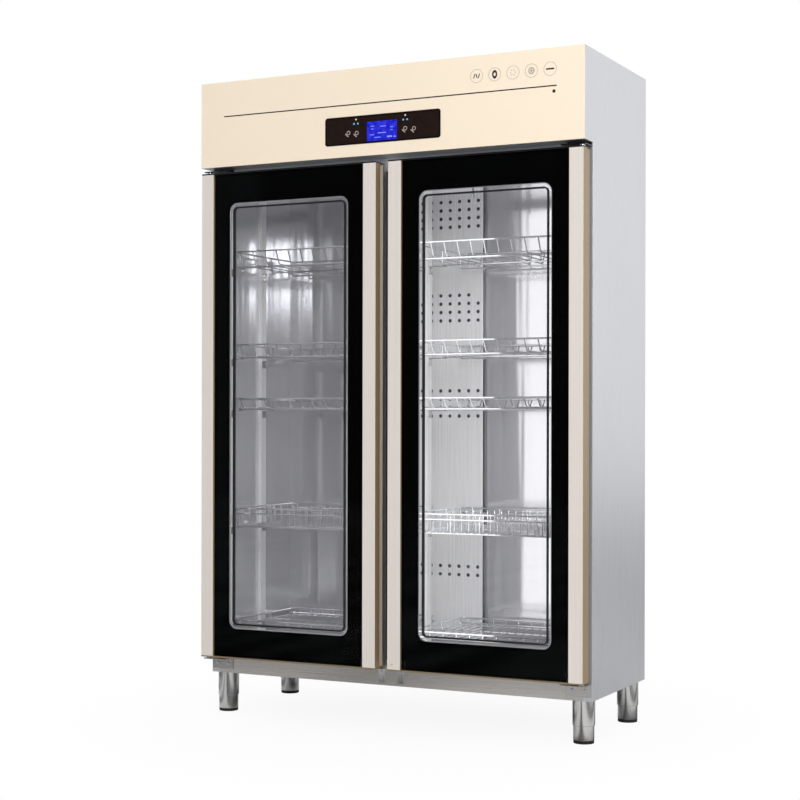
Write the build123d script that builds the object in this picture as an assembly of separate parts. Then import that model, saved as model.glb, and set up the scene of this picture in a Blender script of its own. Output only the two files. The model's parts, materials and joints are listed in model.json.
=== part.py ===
from build123d import *
import os

# Two-door dish sterilizing cabinet, in millimetres. It stands on z = 0, faces -Y, and its
# bounding box is centred on x = 0 and y = 0. The right-hand half is at positive x.

# ---- overall size ----
WIDTH = 1200.0
DEPTH = 510.0
HEIGHT = 1860.0

# ---- case ----
UNDERSIDE = 117.0  # floor to the underside of the case
SKIN = 1.2  # outer sheet
BASE_SHEET = 2.0
LINER_SHEET = 1.0
FLOOR_INSULATION = 30.0
TOP_INSULATION = 20.0
BACK_INSULATION = 30.0
REAR_FLANGE = 15.0  # fold at the back of each side panel
BEND_RADIUS = 0.9  # outside of the front folds
RAIL_RETURN = 20.0  # how far the front rails fold back into the case
RAIL_UPSTAND = 14.0  # how far the top rail stands up behind the fascia
MULLION_DEPTH = 30.0
MULLION_SEAL_WIDTH = 28.0
MULLION_SEAL_DEPTH = 13.0
MULLION_SEAL_SLOPE = 2.0
MULLION_SEAL_LIP = 6.0  # each raised edge of the strip
MULLION_SEAL_GROOVE = 5.0  # depth between the raised edges
MULLION_GROOVE_SLOPE = 1.0
COVER_RIM = 15.0
RIM_CLEARANCE = 5.0  # base rim to the top of the floor insulation
CORNER_CLEARANCE = 1.0  # insulation to the rear flanges

# ---- fascia and controls ----
FASCIA_HEIGHT = 249.0
FASCIA_SHEET = 1.5
FASCIA_EDGE = 1.0
PANEL_WIDTH = 362.0
PANEL_HEIGHT = 80.0
PANEL_RADIUS = 8.0
PANEL_PROUD = 1.0
PANEL_ABOVE_EDGE = 34.0  # fascia's lower edge to the panel's lower edge
DISPLAY_WIDTH = 94.0
DISPLAY_HEIGHT = 54.0
DISPLAY_DROP = 7.0  # display centre below the panel centre
DISPLAY_FIT = 0.3
DISPLAY_RECESS = 0.2
DISPLAY_DEPTH = 12.0
BOARD_WIDTH = 340.0
BOARD_HEIGHT = 92.0
BOARD_SHEET = 1.6
SPACER_RADIUS = 3.0
SPACER_INSET = 8.0
RELAYS = 3
RELAY_WIDTH = 20.0
RELAY_HEIGHT = 32.0
RELAY_DEPTH = 16.0
RELAY_PITCH = 30.0
RELAY_INSET = 60.0
RELAY_RISE = 26.0
PLUG_ROW_WIDTH = 100.0
PLUG_ROW_HEIGHT = 10.0
PLUG_ROW_DEPTH = 9.0
PLUG_ROW_INSET = 50.0
PLUG_ROW_RISE = 16.0

# ---- doors ----
DOOR_SIDE_INSET = 3.0
DOOR_CENTRE_GAP = 39.0
DOOR_ABOVE_UNDERSIDE = 53.0
DOOR_BELOW_FASCIA = 17.0
DOOR_DEPTH = 52.0
STILE_WIDTH = 40.0
STILE_WALL = 2.0
STILE_STEP = 1.5
STILE_STEP_Y = 28.0
STILE_TONGUE = 12.0
GRIP_FLAT = 27.0
GRIP_GROOVE = 18.0
GRIP_GROOVE_DEPTH = 16.0
END_CAP = 4.0
GLASS_SETBACK = 3.0
GLASS_SHEET = 5.0
BORDER_SHEET = 0.8
WINDOW_SIDE = 51.75  # clear glass inside the glass's side edges
WINDOW_BOTTOM = 83.0  # clear glass above the glass's lower edge
WINDOW_TOP = 86.0
WINDOW_RADIUS = 25.0
BAND = 10.0  # bright steel seen inside the dark border
BAND_FLANGE = 30.0
BAND_GAP = 0.7
GLAZING_SEAL_WIDTH = 4.0
GLAZING_SEAL_DEPTH = 8.0
INNER_GLASS_SHEET = 4.0
SEAL_LAND = 22.0  # how far a door laps the frame round the chamber
GASKET_WIDTH = 13.0
GASKET_TIP = 5.0
GASKET_DEPTH = 13.7
GASKET_INSET = 7.0
SEAL_CLEARANCE = 0.3

# ---- hinges and catches ----
HINGE_INSET = 12.0  # pin axis from the door's outer edge
HINGE_SETBACK = 24.0  # pin axis from the door's front
PIN_RADIUS = 4.0
PIN_CLEARANCE = 0.05
PIN_REACH = 14.0
SHOULDER_RADIUS = 8.0
SHOULDER_CLEARANCE = 0.3
BRACKET_SHEET = 3.0
BRACKET_WIDTH = 70.0
BRACKET_DROP = 36.0
LOWER_BRACKET_GAP = 5.0
UPPER_BRACKET_GAP = 6.0
CATCH_WIDTH = 20.0
CATCH_X = 30.0
CATCH_SHEET = 2.0
CATCH_HEIGHT = 42.0
CATCH_REACH = 20.0
CATCH_GAP = 4.0
CATCH_HOLE_RADIUS = 4.0
CATCH_HOLE_DROP = 28.0

# ---- legs and levelling feet ----
LEG_SIDE_INSET = 36.0
LEG_FRONT_INSET = 34.0
LEG_BACK_INSET = 46.0
LEG_HEIGHT = 69.0
LEG_CAP = 3.0
FOOT_RADIUS = 28.4
FOOT_WALL = 2.0
FOOT_CLEARANCE = 0.3
LEG_WALL = 1.8
FOOT_UP_TRAVEL = 20.0
FOOT_TOP_CLEARANCE = 4.0
PAD_HEIGHT = 6.0
PAD_INSET = 1.4

# ---- shelves and baskets ----
SHELF_HEIGHTS = (1322.0, 1052.0, 898.0, 548.0, 252.0)
BOWL_FENCES = (50.0, 43.0, 36.0)
PLATE_FENCE = 60.0
TRAY_FENCE = 24.0
BASKET_FRONT = 18.0  # basket from the case front
BASKET_BACK_GAP = 8.8  # basket to the air duct
BASKET_CENTRE_GAP = 3.5
BASKET_WALL_GAP = 34.0
RIM_WIRE = 5.0
RIM_SPACING = 15.0  # between two rims of one rack
BAR_WIRE = 4.0
PIN_WIRE = 3.0
BOWL_PITCH = 41.0
PLATE_PITCH = 22.0
TRAY_PITCH = 26.0
BASKET_FLARE = 18.0
END_PINS = 6  # along each end of a plate rack
UPRIGHT_WIDTH = 28.0
UPRIGHT_DEPTH = 10.0
UPRIGHT_SHEET = 1.2
CENTRE_POST = 14.0
FRONT_UPRIGHT = 51.0  # front upright's middle from the case front
REAR_UPRIGHT = 177.8  # rear upright's middle from the chamber's back
CLIP_WIDTH = 20.0
CLIP_SHEET = 2.0
CLIP_LEG = 22.0
CLIP_LAP = 12.0  # how far a clip reaches under its basket

# ---- hot air ----
DUCT_WIDTH = 218.0
DUCT_DEPTH = 22.0
DUCT_SHEET = 1.0
DUCT_FOOT = 60.0  # duct above the chamber floor
HOLE_RADIUS = 5.5
HOLE_SIDES = 8
HOLE_COLUMNS = 7
HOLE_PITCH_X = 31.0
HOLE_PITCH_Z = 25.5
HOLE_GROUPS = ((1532.0, 4), (1248.0, 4), (958.5, 4), (427.0, 2))  # top row, and how many rows
HEATER_RADIUS = 4.0
HEATER_SPACING = 60.0
HEATER_LEG_GAP = 24.0
HEATER_LENGTH = 260.0
HEATER_SIDES = 8
HEATER_STRIP_LAP = 4.0
FAN_SETBACK = 152.8  # fan axis from the chamber's back
SCROLL_RADIUS = 100.0
SCROLL_HEIGHT = 50.0
SCROLL_SHEET = 1.5
OUTLET_WIDTH = 182.0
INTAKE_RADIUS = 60.0
INTAKE_SLOTS = 7
INTAKE_SLOT = 8.0
INTAKE_PITCH = 15.0
WHEEL_RADIUS = 80.0
WHEEL_INNER = 56.0
WHEEL_HEIGHT = 38.0
WHEEL_GAP = 5.0
BLADES = 14
BLADE_SHEET = 1.2
BLADE_BOW = 6.0
HUB_RADIUS = 12.0
MOTOR_RADIUS = 38.0
MOTOR_HEIGHT = 66.0
MOTOR_FLANGE = 48.0
MOTOR_FLANGE_SHEET = 3.0
MOTOR_EDGE = 6.0
SHAFT_RADIUS = 4.0
SHAFT_CLEARANCE = 0.05
SHAFT_DEPTH = 40.0
SHAFT_END_GAP = 1.0
PROBE_RADIUS = 3.0
PROBE_LENGTH = 60.0
PROBE_HEAD_RADIUS = 9.0
PROBE_HEAD_SHEET = 4.0
PROBE_GAP = 51.0  # probe's axis from the duct's side
PROBE_SETBACK = 200.0
VENT_SLOTS = 12
VENT_WIDTH = 6.0
VENT_HEIGHT = 70.0
VENT_PITCH = 22.0
VENT_ABOVE_DECK = 90.0

# ---- power unit and cord entry ----
POWER_WIDTH = 180.0
POWER_DEPTH = 110.0
POWER_HEIGHT = 70.0
POWER_SIDE_GAP = 130.0  # power unit to the case's left side
POWER_BACK_GAP = 83.0  # power unit to the case's back
POWER_CHAMFER = 8.0
TERMINAL_WIDTH = 24.0
TERMINAL_HEIGHT = 22.0
TERMINAL_INSET = 20.0
GLAND_SETBACK = 60.0  # gland axis from the case back
GLAND_RADIUS = 14.0
GLAND_HEAD = 8.0
GLAND_STEM = 9.0
GLAND_BORE = 4.0
GLAND_FIT = 0.1
GLAND_LENGTH = 22.0
GLAND_POCKET = 16.0

# ---- places worked out from the sizes ----
SIDE_X = WIDTH / 2
FRONT_Y = -DEPTH / 2
FACE_Y = FRONT_Y + PANEL_PROUD
DOOR_BACK_Y = FACE_Y + DOOR_DEPTH
CASE_FRONT_Y = DOOR_BACK_Y + GASKET_DEPTH + SEAL_CLEARANCE
CASE_BACK_Y = DEPTH / 2
COVER_Z = HEIGHT - SKIN
FASCIA_Z = HEIGHT - FASCIA_HEIGHT

DOOR_INNER_X = DOOR_CENTRE_GAP / 2
DOOR_OUTER_X = SIDE_X - DOOR_SIDE_INSET
DOOR_BOTTOM_Z = UNDERSIDE + DOOR_ABOVE_UNDERSIDE
DOOR_TOP_Z = FASCIA_Z - DOOR_BELOW_FASCIA
GLASS_INNER_X = DOOR_INNER_X + STILE_WIDTH
GLASS_OUTER_X = DOOR_OUTER_X - STILE_WIDTH
GLASS_BOTTOM_Z = DOOR_BOTTOM_Z + END_CAP
GLASS_TOP_Z = DOOR_TOP_Z - END_CAP
GLASS_X = (GLASS_INNER_X + GLASS_OUTER_X) / 2
GLASS_WIDTH = GLASS_OUTER_X - GLASS_INNER_X
GLASS_HEIGHT = GLASS_TOP_Z - GLASS_BOTTOM_Z
GLASS_BACK_Y = FACE_Y + GLASS_SETBACK + GLASS_SHEET
BORDER_BACK_Y = GLASS_BACK_Y + BORDER_SHEET
WINDOW_WIDTH = GLASS_WIDTH - 2 * WINDOW_SIDE
WINDOW_HEIGHT = GLASS_HEIGHT - WINDOW_BOTTOM - WINDOW_TOP
WINDOW_Z = GLASS_BOTTOM_Z + WINDOW_BOTTOM + WINDOW_HEIGHT / 2

CHAMBER_X = DOOR_OUTER_X - SEAL_LAND
MULLION_X = DOOR_INNER_X + SEAL_LAND
OPENING_BOTTOM_Z = DOOR_BOTTOM_Z + SEAL_LAND
OPENING_TOP_Z = DOOR_TOP_Z - SEAL_LAND
CHAMBER_FLOOR_Z = UNDERSIDE + BASE_SHEET + FLOOR_INSULATION + LINER_SHEET
CHAMBER_BACK_Y = CASE_BACK_Y - SKIN - BACK_INSULATION - LINER_SHEET
LINER_X = CHAMBER_X + LINER_SHEET
LINER_BACK_Y = CHAMBER_BACK_Y + LINER_SHEET
LINER_TOP_Z = OPENING_TOP_Z + LINER_SHEET
LINER_FOOT_Z = CHAMBER_FLOOR_Z - LINER_SHEET
LINER_FRONT_Y = CASE_FRONT_Y + RAIL_RETURN
DECK_Z = LINER_TOP_Z + TOP_INSULATION
DECK_TOP_Z = DECK_Z + SKIN
INNER_X = SIDE_X - SKIN
INNER_FRONT_Y = CASE_FRONT_Y + SKIN
INNER_BACK_Y = CASE_BACK_Y - 2 * SKIN
FLANGE_X = INNER_X - REAR_FLANGE

PANEL_Z = FASCIA_Z + PANEL_ABOVE_EDGE + PANEL_HEIGHT / 2
DISPLAY_Z = PANEL_Z - DISPLAY_DROP
BOARD_Y = FACE_Y + DISPLAY_DEPTH
HINGE_X = DOOR_OUTER_X - HINGE_INSET
HINGE_Y = FACE_Y + HINGE_SETBACK
LEG_X = SIDE_X - LEG_SIDE_INSET
LEG_FRONT_Y = CASE_FRONT_Y + LEG_FRONT_INSET
LEG_BACK_Y = CASE_BACK_Y - LEG_BACK_INSET
FOOT_TOP_Z = UNDERSIDE - LEG_CAP - FOOT_UP_TRAVEL - FOOT_TOP_CLEARANCE

BASKET_INNER_X = MULLION_X + BASKET_CENTRE_GAP
BASKET_OUTER_X = CHAMBER_X - BASKET_WALL_GAP
BASKET_FRONT_Y = CASE_FRONT_Y + BASKET_FRONT
DUCT_FRONT_Y = CHAMBER_BACK_Y - DUCT_DEPTH
BASKET_BACK_Y = DUCT_FRONT_Y - BASKET_BACK_GAP
UPRIGHT_YS = (CASE_FRONT_Y + FRONT_UPRIGHT, CHAMBER_BACK_Y - REAR_UPRIGHT)
FAN_Y = CHAMBER_BACK_Y - FAN_SETBACK
SCROLL_TOP_Z = DECK_TOP_Z + SCROLL_HEIGHT
GLAND_Y = CASE_BACK_Y - GLAND_SETBACK
PROBE_X = DUCT_WIDTH / 2 + PROBE_GAP


# ---- helpers ----
def block(x0, x1, y0, y1, z0, z1):
    """A square-edged solid between two corners."""
    centre = Pos((x0 + x1) / 2, (y0 + y1) / 2, (z0 + z1) / 2)
    return centre * Box(x1 - x0, y1 - y0, z1 - z0)


def upright(outline, y0, y1):
    """A plate that stands across the case: an outline drawn in x and z, from y0 back to y1."""
    plane = Plane(origin=(0, y1, 0), x_dir=(1, 0, 0), z_dir=(0, -1, 0))
    return extrude(plane * outline, y1 - y0)


def lying(outline, z0, z1):
    """A plate or a long section: an outline drawn in x and y, from z0 up to z1."""
    return extrude(Plane.XY.offset(z0) * outline, z1 - z0)


def post(x, y, z0, z1, radius):
    """A round rod that stands up."""
    return Pos(x, y, (z0 + z1) / 2) * Cylinder(radius, z1 - z0)


def wire(start, end, thickness):
    """A straight wire with four flats, so that crossing wires lie flat on each other."""
    path = Vector(*end) - Vector(*start)
    plane = Plane(origin=start, z_dir=path)
    return extrude(plane * Rectangle(thickness, thickness), path.length)


def both_sides(right):
    """The right-hand piece and its mirror image on the left."""
    return mirror(right, about=Plane.YZ), right


def group(solids):
    """Separate solids that share one name."""
    return Compound([solid for piece in solids for solid in piece.solids()])


# ---- case ----
def side_panel():
    """Right side panel, folded in behind the door seal and at the back."""
    back = CASE_BACK_Y - SKIN
    skin = block(INNER_X, SIDE_X, CASE_FRONT_Y, back, UNDERSIDE, COVER_Z)
    lip = block(CHAMBER_X, INNER_X, CASE_FRONT_Y, INNER_FRONT_Y, UNDERSIDE, COVER_Z)
    flange = block(FLANGE_X, INNER_X, INNER_BACK_Y, back, UNDERSIDE, COVER_Z)
    panel = skin + lip + flange
    corner = panel.edges().filter_by(Axis.Z).sort_by(lambda e: e.center().X - e.center().Y)[-1]
    return fillet(corner, BEND_RADIUS)


def top_cover():
    """Flat lid with a rim that drops inside the side panels."""
    sheet = block(-SIDE_X, SIDE_X, CASE_FRONT_Y, CASE_BACK_Y, COVER_Z, HEIGHT)
    rim = block(-INNER_X, INNER_X, INNER_FRONT_Y, INNER_BACK_Y, COVER_Z - COVER_RIM, COVER_Z)
    inside = block(
        -INNER_X + SKIN, INNER_X - SKIN, INNER_FRONT_Y + SKIN, INNER_BACK_Y - SKIN,
        COVER_Z - COVER_RIM, COVER_Z,
    )
    return sheet + (rim - inside)


def back_cover():
    """Flat back with a row of cooling slots behind the fan motor."""
    sheet = block(-SIDE_X, SIDE_X, CASE_BACK_Y - SKIN, CASE_BACK_Y, UNDERSIDE, COVER_Z)
    foot_z = DECK_TOP_Z + VENT_ABOVE_DECK
    for index in range(VENT_SLOTS):
        x = (index - (VENT_SLOTS - 1) / 2) * VENT_PITCH
        sheet -= block(x - VENT_WIDTH / 2, x + VENT_WIDTH / 2, CASE_BACK_Y - SKIN, CASE_BACK_Y,
                       foot_z, foot_z + VENT_HEIGHT)
    return sheet


def base_plate():
    """Tray that the legs bolt to, with an upturned rim and the cord gland's hole."""
    rim_z = LINER_FOOT_Z - RIM_CLEARANCE
    tray = block(-INNER_X, INNER_X, INNER_FRONT_Y, INNER_BACK_Y, UNDERSIDE, rim_z)
    inside = block(
        -INNER_X + SKIN, INNER_X - SKIN, INNER_FRONT_Y + SKIN, INNER_BACK_Y - SKIN,
        UNDERSIDE + BASE_SHEET, rim_z,
    )
    return tray - inside - post(0, GLAND_Y, UNDERSIDE, rim_z, GLAND_STEM + GLAND_FIT)


def front_top_rail():
    """Rail above the doorways: an upright face with a fold along the chamber's ceiling."""
    face = block(-CHAMBER_X, CHAMBER_X, CASE_FRONT_Y, INNER_FRONT_Y, OPENING_TOP_Z,
                 FASCIA_Z + RAIL_UPSTAND)
    fold = block(-CHAMBER_X, CHAMBER_X, INNER_FRONT_Y, LINER_FRONT_Y, OPENING_TOP_Z,
                 OPENING_TOP_Z + SKIN)
    return face + fold


def front_bottom_rail():
    """Sill below the doorways: face, top and a back leg that reaches the chamber floor."""
    outer = block(-CHAMBER_X, CHAMBER_X, CASE_FRONT_Y, LINER_FRONT_Y, UNDERSIDE, OPENING_BOTTOM_Z)
    hollow = block(-CHAMBER_X, CHAMBER_X, INNER_FRONT_Y, LINER_FRONT_Y - SKIN, UNDERSIDE,
                   OPENING_BOTTOM_Z - SKIN)
    below = block(-CHAMBER_X, CHAMBER_X, INNER_FRONT_Y, LINER_FRONT_Y, UNDERSIDE, CHAMBER_FLOOR_Z)
    return outer - hollow - below


def centre_mullion():
    """Closed box section between the two doorways."""
    outline = Rectangle(2 * MULLION_X, MULLION_DEPTH)
    outline -= Rectangle(2 * (MULLION_X - SKIN), MULLION_DEPTH - 2 * SKIN)
    outline = Pos(0, CASE_FRONT_Y + MULLION_DEPTH / 2) * outline
    return lying(outline, OPENING_BOTTOM_Z, OPENING_TOP_Z)


def mullion_seal():
    """Dark ribbed strip in the gap between the doors."""
    front = CASE_FRONT_Y - MULLION_SEAL_DEPTH
    groove = front + MULLION_SEAL_GROOVE
    foot = MULLION_SEAL_WIDTH / 2
    edge = foot - MULLION_SEAL_SLOPE
    lip = edge - MULLION_SEAL_LIP
    floor = lip - MULLION_GROOVE_SLOPE
    strip = Polyline(
        (-foot, CASE_FRONT_Y), (foot, CASE_FRONT_Y), (edge, front), (lip, front),
        (floor, groove), (-floor, groove), (-lip, front), (-edge, front),
        close=True,
    )
    return lying(make_face(strip), OPENING_BOTTOM_Z, OPENING_TOP_Z)


def insulation():
    """Five boards round the chamber."""
    side = block(LINER_X, INNER_X, INNER_FRONT_Y, LINER_BACK_Y, LINER_FOOT_Z, LINER_TOP_Z)
    floor = block(
        -INNER_X + SKIN, INNER_X - SKIN, INNER_FRONT_Y + SKIN, INNER_BACK_Y - SKIN,
        UNDERSIDE + BASE_SHEET, LINER_FOOT_Z,
    )
    floor -= post(0, GLAND_Y, UNDERSIDE, LINER_FOOT_Z, GLAND_POCKET)
    back_x = FLANGE_X - CORNER_CLEARANCE
    back = block(-back_x, back_x, LINER_BACK_Y, CASE_BACK_Y - SKIN, LINER_FOOT_Z, DECK_Z)
    top = block(-INNER_X, INNER_X, INNER_FRONT_Y, LINER_BACK_Y, LINER_TOP_Z, DECK_Z)
    top -= block(-INNER_X, INNER_X, INNER_FRONT_Y, LINER_FRONT_Y, LINER_TOP_Z, DECK_Z)
    top -= intake_hole(LINER_TOP_Z, DECK_Z) + outlet_slot(LINER_TOP_Z, DECK_Z)
    return group([*both_sides(side), floor, back, top])


def intake_hole(z0, z1):
    """Space that the fan draws air up through."""
    return post(0, FAN_Y, z0, z1, INTAKE_RADIUS)


def outlet_slot(z0, z1):
    """Space that the fan blows air down through, into the duct."""
    half = OUTLET_WIDTH / 2 - SCROLL_SHEET
    return block(-half, half, DUCT_FRONT_Y + DUCT_SHEET, CHAMBER_BACK_Y, z0, z1)


def liner_ceiling():
    """Ceiling with the fan's slotted intake and the slot that feeds the duct."""
    sheet = block(-CHAMBER_X, CHAMBER_X, LINER_FRONT_Y, CHAMBER_BACK_Y, OPENING_TOP_Z, LINER_TOP_Z)
    for index in range(INTAKE_SLOTS):
        offset = (index - (INTAKE_SLOTS - 1) / 2) * INTAKE_PITCH
        half = (INTAKE_RADIUS ** 2 - offset ** 2) ** 0.5 - INTAKE_SLOT
        sheet -= block(-half, half, FAN_Y + offset - INTAKE_SLOT / 2, FAN_Y + offset + INTAKE_SLOT / 2,
                       OPENING_TOP_Z, LINER_TOP_Z)
    return sheet - outlet_slot(OPENING_TOP_Z, LINER_TOP_Z)


def deck():
    """Floor of the top compartment."""
    sheet = block(-INNER_X, INNER_X, INNER_FRONT_Y, INNER_BACK_Y, DECK_Z, DECK_TOP_Z)
    return sheet - intake_hole(DECK_Z, DECK_TOP_Z) - outlet_slot(DECK_Z, DECK_TOP_Z)


# ---- fascia and controls ----
def fascia_face():
    """Painted front sheet with the display's opening and softened edges."""
    face = upright(Pos(0, (FASCIA_Z + HEIGHT) / 2) * Rectangle(WIDTH, FASCIA_HEIGHT),
                   FACE_Y, FACE_Y + FASCIA_SHEET)
    face = fillet(face.faces().sort_by(Axis.Y)[0].edges(), FASCIA_EDGE)
    hole = Pos(0, DISPLAY_Z) * Rectangle(DISPLAY_WIDTH + 2 * DISPLAY_FIT, DISPLAY_HEIGHT + 2 * DISPLAY_FIT)
    return face - upright(hole, FACE_Y, FACE_Y + FASCIA_SHEET)


def fascia_box():
    """Steel sleeve behind the painted sheet, as deep as the doors stand out."""
    outline = Rectangle(WIDTH, FASCIA_HEIGHT) - Rectangle(WIDTH - 2 * SKIN, FASCIA_HEIGHT - 2 * SKIN)
    return upright(Pos(0, (FASCIA_Z + HEIGHT) / 2) * outline, FACE_Y + FASCIA_SHEET, CASE_FRONT_Y)


def control_lens():
    """Dark glossy plate over the keys, open round the display."""
    plate = Pos(0, PANEL_Z) * RectangleRounded(PANEL_WIDTH, PANEL_HEIGHT, PANEL_RADIUS)
    plate -= Pos(0, DISPLAY_Z) * Rectangle(DISPLAY_WIDTH + 2 * DISPLAY_FIT, DISPLAY_HEIGHT + 2 * DISPLAY_FIT)
    return upright(plate, FRONT_Y, FACE_Y)


def display_module():
    """Display block that fills the opening."""
    outline = Pos(0, DISPLAY_Z) * Rectangle(DISPLAY_WIDTH, DISPLAY_HEIGHT)
    return upright(outline, FRONT_Y + DISPLAY_RECESS, BOARD_Y)


def control_board():
    """Board behind the fascia, with its spacers, relays and plug row."""
    board = upright(Pos(0, PANEL_Z) * Rectangle(BOARD_WIDTH, BOARD_HEIGHT), BOARD_Y, BOARD_Y + BOARD_SHEET)
    pieces = [board]
    spacer = extrude(Plane(origin=(0, BOARD_Y, 0), z_dir=(0, -1, 0)) * Circle(SPACER_RADIUS),
                     BOARD_Y - FACE_Y - FASCIA_SHEET)
    for x in (SPACER_INSET - BOARD_WIDTH / 2, BOARD_WIDTH / 2 - SPACER_INSET):
        for z in (SPACER_INSET - BOARD_HEIGHT / 2, BOARD_HEIGHT / 2 - SPACER_INSET):
            pieces.append(Pos(x, 0, PANEL_Z + z) * spacer)
    back = BOARD_Y + BOARD_SHEET
    foot_z = PANEL_Z - BOARD_HEIGHT / 2
    relay_z = foot_z + RELAY_RISE
    for index in range(RELAYS):
        x = RELAY_INSET - BOARD_WIDTH / 2 + index * RELAY_PITCH
        pieces.append(block(x, x + RELAY_WIDTH, back, back + RELAY_DEPTH, relay_z, relay_z + RELAY_HEIGHT))
    x = BOARD_WIDTH / 2 - PLUG_ROW_INSET
    plug_z = foot_z + PLUG_ROW_RISE
    pieces.append(block(x - PLUG_ROW_WIDTH, x, back, back + PLUG_ROW_DEPTH, plug_z, plug_z + PLUG_ROW_HEIGHT))
    return group(pieces)


def power_unit():
    """Covered supply with its terminal blocks, on the deck."""
    y = CASE_BACK_Y - POWER_BACK_GAP - POWER_DEPTH
    left = POWER_SIDE_GAP - SIDE_X
    right = left + POWER_WIDTH
    case = block(left, right, y, y + POWER_DEPTH, DECK_TOP_Z, DECK_TOP_Z + POWER_HEIGHT)
    case = chamfer(case.edges().filter_by(Axis.Y).sort_by(Axis.Z)[-2:], POWER_CHAMFER)
    terminals = block(right, right + TERMINAL_WIDTH, y + TERMINAL_INSET, y + POWER_DEPTH - TERMINAL_INSET,
                      DECK_TOP_Z, DECK_TOP_Z + TERMINAL_HEIGHT)
    return group([case, terminals])


def cord_gland():
    """Cord entry through the base plate."""
    head = lying(Pos(0, GLAND_Y) * RegularPolygon(GLAND_RADIUS, 6), UNDERSIDE - GLAND_HEAD, UNDERSIDE)
    stem = post(0, GLAND_Y, UNDERSIDE, UNDERSIDE - GLAND_HEAD + GLAND_LENGTH, GLAND_STEM)
    bore = post(0, GLAND_Y, UNDERSIDE - GLAND_HEAD, UNDERSIDE - GLAND_HEAD + GLAND_LENGTH, GLAND_BORE)
    return head + stem - bore


# ---- right door ----
def glass_outline(shrink=0.0):
    """Outline of the outer glass, in x and z."""
    return Pos(GLASS_X, (GLASS_BOTTOM_Z + GLASS_TOP_Z) / 2) * Rectangle(
        GLASS_WIDTH - 2 * shrink, GLASS_HEIGHT - 2 * shrink)


def window_outline(inset):
    """Outline concentric with the clear window, that far inside it."""
    return Pos(GLASS_X, WINDOW_Z) * RectangleRounded(
        WINDOW_WIDTH - 2 * inset, WINDOW_HEIGHT - 2 * inset, WINDOW_RADIUS - inset)


def hinge_stile():
    """Hollow outer stile with a step down its side and a tongue behind the glass."""
    back_x = DOOR_OUTER_X - STILE_STEP
    outline = make_face(Polyline(
        (GLASS_OUTER_X, FACE_Y), (DOOR_OUTER_X, FACE_Y), (DOOR_OUTER_X, FACE_Y + STILE_STEP_Y),
        (back_x, FACE_Y + STILE_STEP_Y), (back_x, DOOR_BACK_Y), (GLASS_OUTER_X, DOOR_BACK_Y),
        close=True,
    ))
    outline -= offset(outline, -STILE_WALL, kind=Kind.INTERSECTION)
    tongue = Pos(GLASS_OUTER_X - STILE_TONGUE / 2, BORDER_BACK_Y + STILE_WALL / 2) * Rectangle(
        STILE_TONGUE, STILE_WALL)
    return lying(outline + tongue, GLASS_BOTTOM_Z, GLASS_TOP_Z)


def grip_stile():
    """Hollow inner stile with the finger groove down its side."""
    groove_front = FACE_Y + GRIP_FLAT
    groove_back = groove_front + GRIP_GROOVE
    groove_x = DOOR_INNER_X + GRIP_GROOVE_DEPTH
    outline = make_face(Polyline(
        (DOOR_INNER_X, FACE_Y), (GLASS_INNER_X, FACE_Y), (GLASS_INNER_X, DOOR_BACK_Y),
        (DOOR_INNER_X, DOOR_BACK_Y), (DOOR_INNER_X, groove_back), (groove_x, groove_back),
        (groove_x, groove_front), (DOOR_INNER_X, groove_front),
        close=True,
    ))
    outline -= offset(outline, -STILE_WALL, kind=Kind.INTERSECTION)
    tongue = Pos(GLASS_INNER_X + STILE_TONGUE / 2, BORDER_BACK_Y + STILE_WALL / 2) * Rectangle(
        STILE_TONGUE, STILE_WALL)
    return lying(outline + tongue, GLASS_BOTTOM_Z, GLASS_TOP_Z)


def end_caps():
    """Caps across the door's top and bottom, each bored for its hinge pin."""
    bore = post(HINGE_X, HINGE_Y, DOOR_BOTTOM_Z, DOOR_TOP_Z, PIN_RADIUS + PIN_CLEARANCE)
    caps = []
    for z0, z1 in ((DOOR_BOTTOM_Z, GLASS_BOTTOM_Z), (GLASS_TOP_Z, DOOR_TOP_Z)):
        caps.append(block(DOOR_INNER_X, DOOR_OUTER_X, FACE_Y, DOOR_BACK_Y, z0, z1) - bore)
    return group(caps)


def door_border():
    """Dark border behind the outer glass, with the rounded window."""
    return upright(glass_outline() - window_outline(0), GLASS_BACK_Y, BORDER_BACK_Y)


def inner_plate():
    """Pressed steel back of the door: a flat back, a reveal and a flange seen as a bright band."""
    inside = window_outline(BAND + LINER_SHEET)
    ring_y = BORDER_BACK_Y + BAND_GAP
    flange = upright(window_outline(BAND - BAND_FLANGE) - inside, ring_y, ring_y + LINER_SHEET)
    reveal = upright(window_outline(BAND) - inside, ring_y, DOOR_BACK_Y)
    back = upright(glass_outline() - inside, DOOR_BACK_Y - LINER_SHEET, DOOR_BACK_Y)
    return flange + reveal + back


def inner_glass():
    """Second pane, held in the glazing seal."""
    front = BORDER_BACK_Y + BAND_GAP + LINER_SHEET + (GLAZING_SEAL_DEPTH - INNER_GLASS_SHEET) / 2
    return upright(window_outline(BAND + LINER_SHEET + GLAZING_SEAL_WIDTH), front,
                   front + INNER_GLASS_SHEET)


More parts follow.
